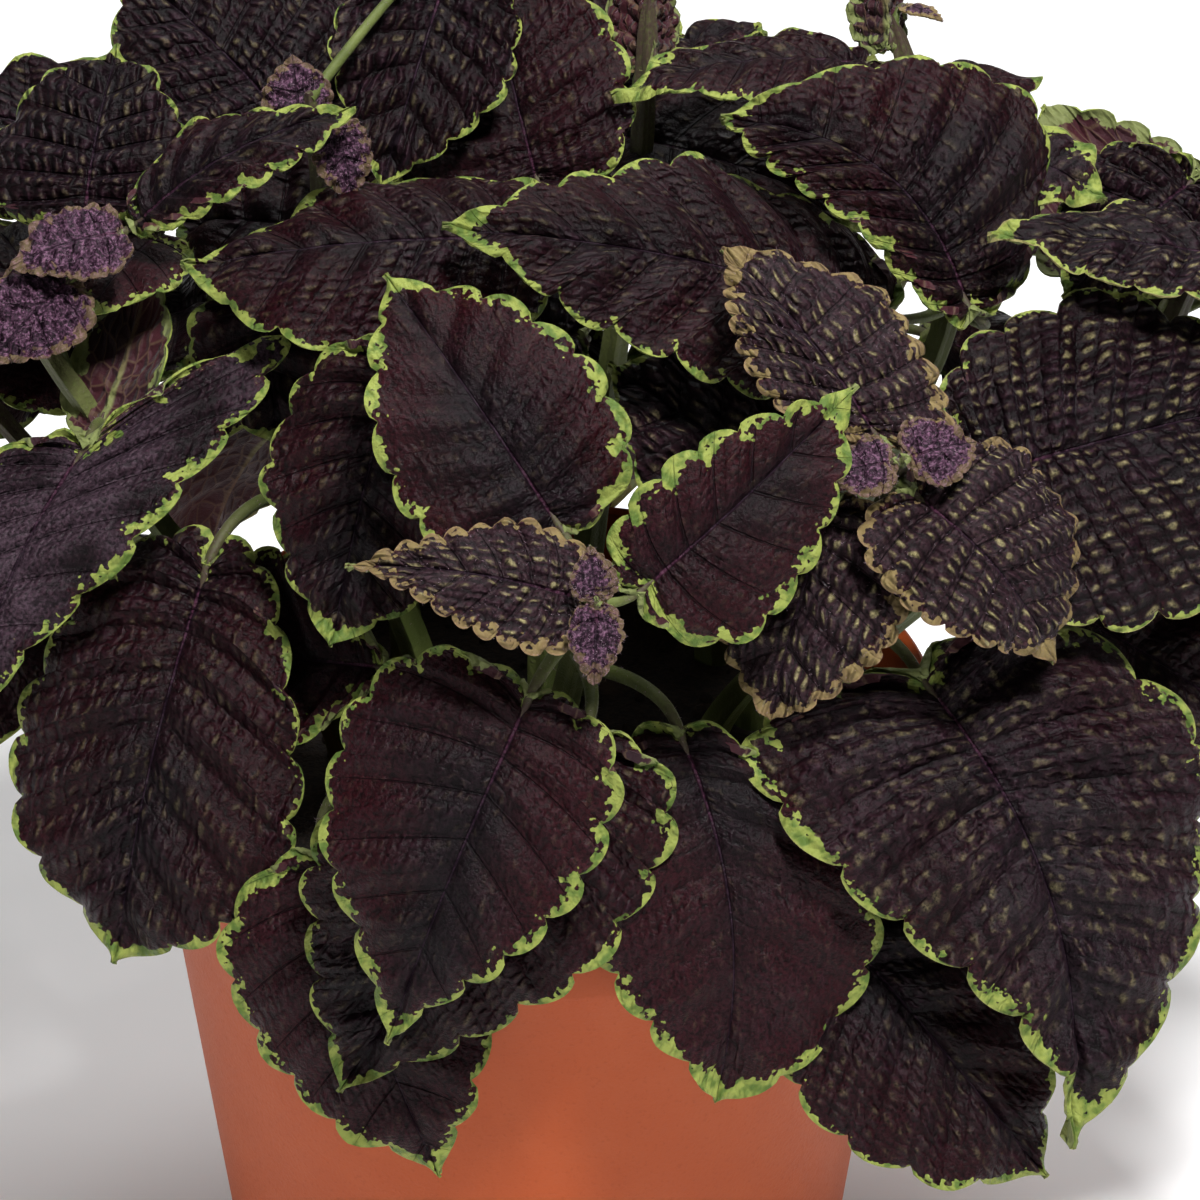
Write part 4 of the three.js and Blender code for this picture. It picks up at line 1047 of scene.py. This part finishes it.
def stemFinish():
    color = stemColors
    paint, tree, shader = newFinish(
        "stemGreen", **{"Roughness": 0.5, "Sheen Weight": 0.02, "Specular IOR Level": 0.2})
    share = layer(tree, "stemShare")[1]
    grain = useGroup(tree, fineGrain, Scale=1.2)
    base = mix(ease(grain["Patches"], 0.3, 0.7), color["green"], color["pale"])
    stain = times(ease(share, 0.4, 0.95), ease(grain["Height"], 0.1, 0.6))
    base = wash(base, color["purple"], stain, 0.85)
    streaks = calc("ADD", grain["Height"], grain["Patches"])
    setLook(shader, base, streaks, 0.0003)
    return paint


def hairFinish():
    return newFinish(
        "paleHair", **{"Base Color": (0.3, 0.21, 0.26, 1), "Roughness": 0.6, "Specular IOR Level": 0.1})[0]


potColors = dict(clay=(0.41, 0.073, 0.014), worn=(0.44, 0.088, 0.022), speck=(0.3, 0.05, 0.01))


def potFinish():
    color = potColors
    paint, tree, shader = newFinish("potPlastic", **{"Specular IOR Level": 0.22})
    grain = useGroup(tree, fineGrain, Scale=1.1)
    base = mix(times(ease(grain["Patches"], 0.35, 0.75), 0.5), color["clay"], color["worn"])
    base = wash(base, color["speck"], ease(grain["Height"], 0.56, 0.7), 0.35)
    feed(shader.inputs["Roughness"], timesPlus(grain["Height"], 0.2, 0.4))
    setLook(shader, base, grain["Height"], 0.00012)
    return paint


soilColors = dict(dark=(0.009, 0.006, 0.0045), brown=(0.032, 0.02, 0.013), fibre=(0.085, 0.055, 0.032))


def soilFinish():
    color = soilColors
    paint, tree, shader = newFinish("soil", **{"Roughness": 0.95})
    grain = useGroup(tree, fineGrain, Scale=0.8)
    base = mix(ease(grain["Height"], 0.35, 0.7), color["dark"], color["brown"])
    base = wash(base, color["fibre"], ease(grain["Patches"], 0.62, 0.75), 0.6)
    setLook(shader, base, grain["Height"], 0.0009)
    return paint


leafTop, leafUnder, stemGreen, paleHair = leafTopFinish(), leafUnderFinish(), stemFinish(), hairFinish()
potPlastic, soilCrumbs = potFinish(), soilFinish()
print("finishes done")


# pot and soil, each turned ring by ring


def turnRings(name, rings, segments):
    (radius, z), rest = rings[0], rings[1:]
    deselectAll()
    bpy.ops.mesh.primitive_circle_add(
        vertices=segments, radius=radius * mm, fill_type="NGON", location=(0, 0, z * mm))
    piece = bpy.context.object
    piece.name = name
    bpy.ops.object.mode_set(mode="EDIT")
    bpy.ops.mesh.select_all(action="SELECT")
    for nextRadius, nextZ in rest:
        bpy.ops.mesh.extrude_region_move(TRANSFORM_OT_translate=dict(value=(0, 0, (nextZ - z) * mm)))
        ratio = nextRadius / radius
        bpy.ops.transform.resize(value=(ratio, ratio, 1), center_override=(0, 0, nextZ * mm))
        radius, z = nextRadius, nextZ
    bpy.ops.mesh.select_all(action="SELECT")
    bpy.ops.mesh.normals_make_consistent(inside=False)
    bpy.ops.object.mode_set(mode="OBJECT")
    pick(piece)
    bpy.ops.object.transform_apply()
    return piece


def cutPosts(piece, posts, sides=24):
    # posts are (x, y, z, radius, depth) in millimetres
    tools = []
    for x, y, z, radius, depth in posts:
        deselectAll()
        bpy.ops.mesh.primitive_cylinder_add(
            vertices=sides, radius=radius * mm, depth=depth * mm, location=(x * mm, y * mm, z * mm))
        tools.append(bpy.context.object)
    pick(*tools)
    bpy.ops.object.join()
    cutter = bpy.context.object
    applyModifier(piece, "BOOLEAN", operation="DIFFERENCE", object=cutter, solver="EXACT")
    bpy.data.objects.remove(cutter)


potForm = dict(
    segments=112, base=64, baseRound=1.6, wallTop=81, collarHeight=22, lip=3.4, wall=2.2, floor=3,
    drainRadius=4, drainCircle=40, drains=4, crease=32)


def insidePot(z):
    form = potForm
    rise = rimHeight - form["collarHeight"]
    return form["base"] - form["wall"] + (form["wallTop"] - form["base"]) / rise * (z - form["floor"])


def makePot():
    form = potForm
    under = rimHeight - form["collarHeight"]
    base, wallTop, rim = form["base"], form["wallTop"], rimRadius
    slope = (wallTop - base) / under
    # radius and height of each ring, from the middle of the underside over the rim to the floor inside
    rings = [
        (base - 6, 0.8), (base - 4.5, 0), (base - form["baseRound"], 0), (base - 0.5, 0.45), (base, 1.6),
        (base + slope * 10, 10), (base + slope * 60, 60), (base + slope * 105, 105),
        (wallTop - 0.35, under - 1.6), (wallTop + 0.1, under - 0.5), (wallTop + 0.8, under),
        (rim - 1.5, under + 0.2), (rim - 0.75, under + 0.7), (rim - 0.5, under + 1.6),
        (rim - 0.35, under + 8), (rim - 0.2, rimHeight - 4.4), (rim, rimHeight - 3.2), (rim, rimHeight - 1.3),
        (rim - 0.35, rimHeight - 0.5), (rim - 1.1, rimHeight), (rim - 2.6, rimHeight),
        (rim - form["lip"] + 0.1, rimHeight - 0.5), (rim - form["lip"], rimHeight - 1.4),
        (rim - form["lip"], under + 3.4), (insidePot(under) + 0.6, under + 0.5),
        (insidePot(under), under - 0.4), (insidePot(60), 60), (insidePot(5) - 0.2, 5),
        (insidePot(3) - 1.6, 3.1), (insidePot(3) - 4, 3),
    ]
    piece = turnRings("pot", rings, form["segments"])
    drains = []
    for i in range(form["drains"]):
        angle = 2 * math.pi * (i + 0.5) / form["drains"]
        x, y = form["drainCircle"] * math.cos(angle), form["drainCircle"] * math.sin(angle)
        drains.append((x, y, form["floor"] / 2, form["drainRadius"], form["floor"] * 4))
    cutPosts(piece, drains)
    smooth(piece, form["crease"])
    piece.data.materials.append(potPlastic)
    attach(piece, "root")
    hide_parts("pot")


soilForm = dict(
    clear=0.65, underGap=0.3, edge=134.5, middle=138, segments=96, rings=34, lumps=1.1, lumpPitch=0.11,
    stemFit=0.97, stemGap=0.45, holeRise=2, holeMore=4.6, crumbs=150, crumbSizes=(0.9, 2.4), squash=0.6,
    crumbLumps=0.35, crumbPitch=1.3, edgeGap=4, crease=50)


def soilHeight(x, y):
    form = soilForm
    reach = math.hypot(x, y) / (rimRadius - potForm["lip"])
    rise = form["edge"] + (form["middle"] - form["edge"]) * max(0, 1 - reach ** 2)
    bumps = noiseTools.fractal((x * form["lumpPitch"], y * form["lumpPitch"], 3.0), 1.0, 2.1, 4)
    return rise + form["lumps"] * bumps * min(1, (1 - reach) * 12 + 0.1)


def makeCrumbs(edge, feet, hole):
    form = soilForm
    least, most = form["crumbSizes"]
    crumbs = []
    while len(crumbs) < form["crumbs"]:
        angle = randomDraw.random() * 2 * math.pi
        reach = math.sqrt(randomDraw.random()) * (edge - form["edgeGap"])
        size = least + (most - least) * randomDraw.random() ** 3
        squash = form["squash"] + (1 - form["squash"]) * randomDraw.random()
        x, y = reach * math.cos(angle), reach * math.sin(angle)
        if min(math.hypot(x - foot[0], y - foot[1]) for foot in feet) > hole + size + 1:
            crumbs.append((x, y, size, squash, angle))
    deselectAll()
    bpy.ops.mesh.primitive_ico_sphere_add(subdivisions=2, radius=mm)
    model = bpy.context.object
    for vertex in model.data.vertices:
        vertex.co *= 1 + form["crumbLumps"] * noiseTools.noise(vertex.co / mm * form["crumbPitch"])
    copies = []
    for x, y, size, squash, angle in crumbs:
        copy = model.copy()
        copy.data = model.data.copy()
        scene.collection.objects.link(copy)
        copy.scale = (size, size * squash, size * squash)
        copy.rotation_euler = (angle * 3, angle * 5, angle * 7)
        copy.location = (x * mm, y * mm, (soilHeight(x, y) + size * 0.2) * mm)
        copies.append(copy)
    bpy.data.objects.remove(model)
    return copies


def makeSoil():
    form = soilForm
    low, under = potForm["floor"] + form["underGap"], rimHeight - potForm["collarHeight"]
    edge = rimRadius - potForm["lip"] - form["clear"]
    rings = [
        (insidePot(low) - form["clear"] - 4, low), (insidePot(low) - form["clear"] - 1.7, low + 0.2),
        (insidePot(under) - form["clear"], under - 0.4), (edge, under + 3.6), (edge, form["edge"])]
    for i in range(1, form["rings"]):
        rings.append((edge * (1 - i / form["rings"]), form["edge"] + 0.01 * i))
    piece = turnRings("soil", rings, form["segments"])
    for vertex in piece.data.vertices:
        x, y, z = vertex.co / mm
        if z > form["edge"] - 0.5:
            vertex.co.z = soilHeight(x, y) * mm
    feet = [line[0] for line in shootLines.values()]
    hole = stemForm["foot"] * form["stemFit"] + form["stemGap"]
    depth = 2 * stemForm["plugDepth"] + form["holeMore"]
    cutPosts(piece, [(x, y, z + form["holeRise"], hole, depth) for x, y, z in feet])
    pick(piece, *makeCrumbs(edge, feet, hole))
    bpy.ops.object.join()
    bpy.ops.object.transform_apply()
    smooth(piece, form["crease"])
    piece.data.materials.append(soilCrumbs)
    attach(piece, "root")
    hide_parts("potting_soil")


makePot()
makeSoil()
print("pot and soil done")


# the shoots

def nodeName(shoot):
    return "".join("_" + letter.lower() if letter.isupper() else letter for letter in shoot) + "_shoot"


def markShares(piece, lines, start, end):
    # how far along its stem each vertex is, from start at the foot to end at the tip
    points = np.vstack([line[:, :3] for line in lines])
    shares = np.concatenate([np.linspace(start, end, len(line)) for line in lines])
    places = readAll(piece.data.vertices, "co") / mm
    nearest = [np.argmin(((points - place) ** 2).sum(axis=1)) for place in places]
    values = np.zeros(places.shape)
    values[:, 0] = shares[nearest]
    piece.data.attributes.new("stemShare", "FLOAT_VECTOR", "POINT").data.foreach_set("vector", values.ravel())


# fine hairs in millimetres, and how many stand on each kind of blade and on each stem
hairForm = dict(radius=0.04, length=0.75, sunk=0.05, spread=0.55, least=0.6, most=1.3)
hairCounts = {"tip": 420, "bud": 200, "young": 700, "stem": 420}


def hairSpots(piece, count):
    faces = piece.data.polygons
    areas = readAll(faces, "area", 1).ravel()
    chosen = randomDraw.choice(len(faces), count, p=areas / areas.sum())
    return readAll(faces, "center")[chosen], readAll(faces, "normal")[chosen]


def makeHairs(name, spots, normals):
    form = hairForm
    deselectAll()
    bpy.ops.mesh.primitive_cone_add(
        vertices=3, radius1=form["radius"] * mm, radius2=0, depth=form["length"] * mm,
        location=(0, 0, (form["length"] / 2 - form["sunk"]) * mm))
    piece = bpy.context.object
    piece.name = name
    pick(piece)
    bpy.ops.object.transform_apply()
    across, aside, up = readAll(piece.data.vertices, "co").reshape(1, -1, 3, 1).transpose(2, 0, 1, 3)
    applyModifier(piece, "ARRAY", count=len(spots))
    way = normals + form["spread"] * randomDraw.normal(size=normals.shape)
    way /= np.linalg.norm(way, axis=1)[:, None]
    first = np.cross(way, randomDraw.normal(size=way.shape))
    first /= np.linalg.norm(first, axis=1)[:, None]
    second = np.cross(way, first)
    size = randomDraw.uniform(form["least"], form["most"], (len(spots), 1, 1))
    place = spots[:, None] + first[:, None] * across + second[:, None] * aside + way[:, None] * up * size
    piece.data.vertices.foreach_set("co", place.ravel())
    piece.data.update()
    piece.data.materials.append(paleHair)
    return piece


def makeShoot(shoot, leaves, section):
    blades = [makeBlade(leaf) for leaf in leaves]
    stem, stemPath = makeStem(shoot, [nodePoint(leaf) for leaf in leaves], section)
    markShares(stem, [stemPath], 0.0, 0.9)
    stalkPaths = [makeStalk(leaf) for leaf in leaves]
    stalks = makeTubes(shoot + "Stalks", stalkPaths)
    markShares(stalks, stalkPaths, 0.2, 1.0)
    for piece in (stem, stalks):
        piece.data.materials.clear()
        piece.data.materials.append(stemGreen)
    kinds = [leaf["look"] for leaf in leaves] + ["stem", "stem"]
    haired = [pair for pair in zip([*blades, stem, stalks], kinds) if pair[1] in hairCounts]
    spots, normals = zip(*[hairSpots(piece, hairCounts[kind]) for piece, kind in haired])
    hairs = makeHairs(shoot + "Hairs", np.concatenate(spots), np.concatenate(normals))
    pick(blades[0], *blades[1:], stem, stalks, hairs)
    bpy.ops.object.join()
    plant = bpy.context.object
    plant.name = shoot + "Shoot"
    smooth(plant, 60)
    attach(plant, "root")
    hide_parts(nodeName(shoot))
    return plant


leaves = placeLeaves()
section = stemSection()
total = 0
for shoot in shootLines:
    own = [leaf for leaf in leaves if leaf["shoot"] == shoot]
    plant = makeShoot(shoot, own, section)
    count = sum(len(face.vertices) - 2 for face in plant.data.polygons)
    total += count
    print(plant.name, len(own), "leaves,", count, "triangles")
bpy.data.objects.remove(section)
print(total, "triangles in the shoots")

scene.view_layers[0].update()
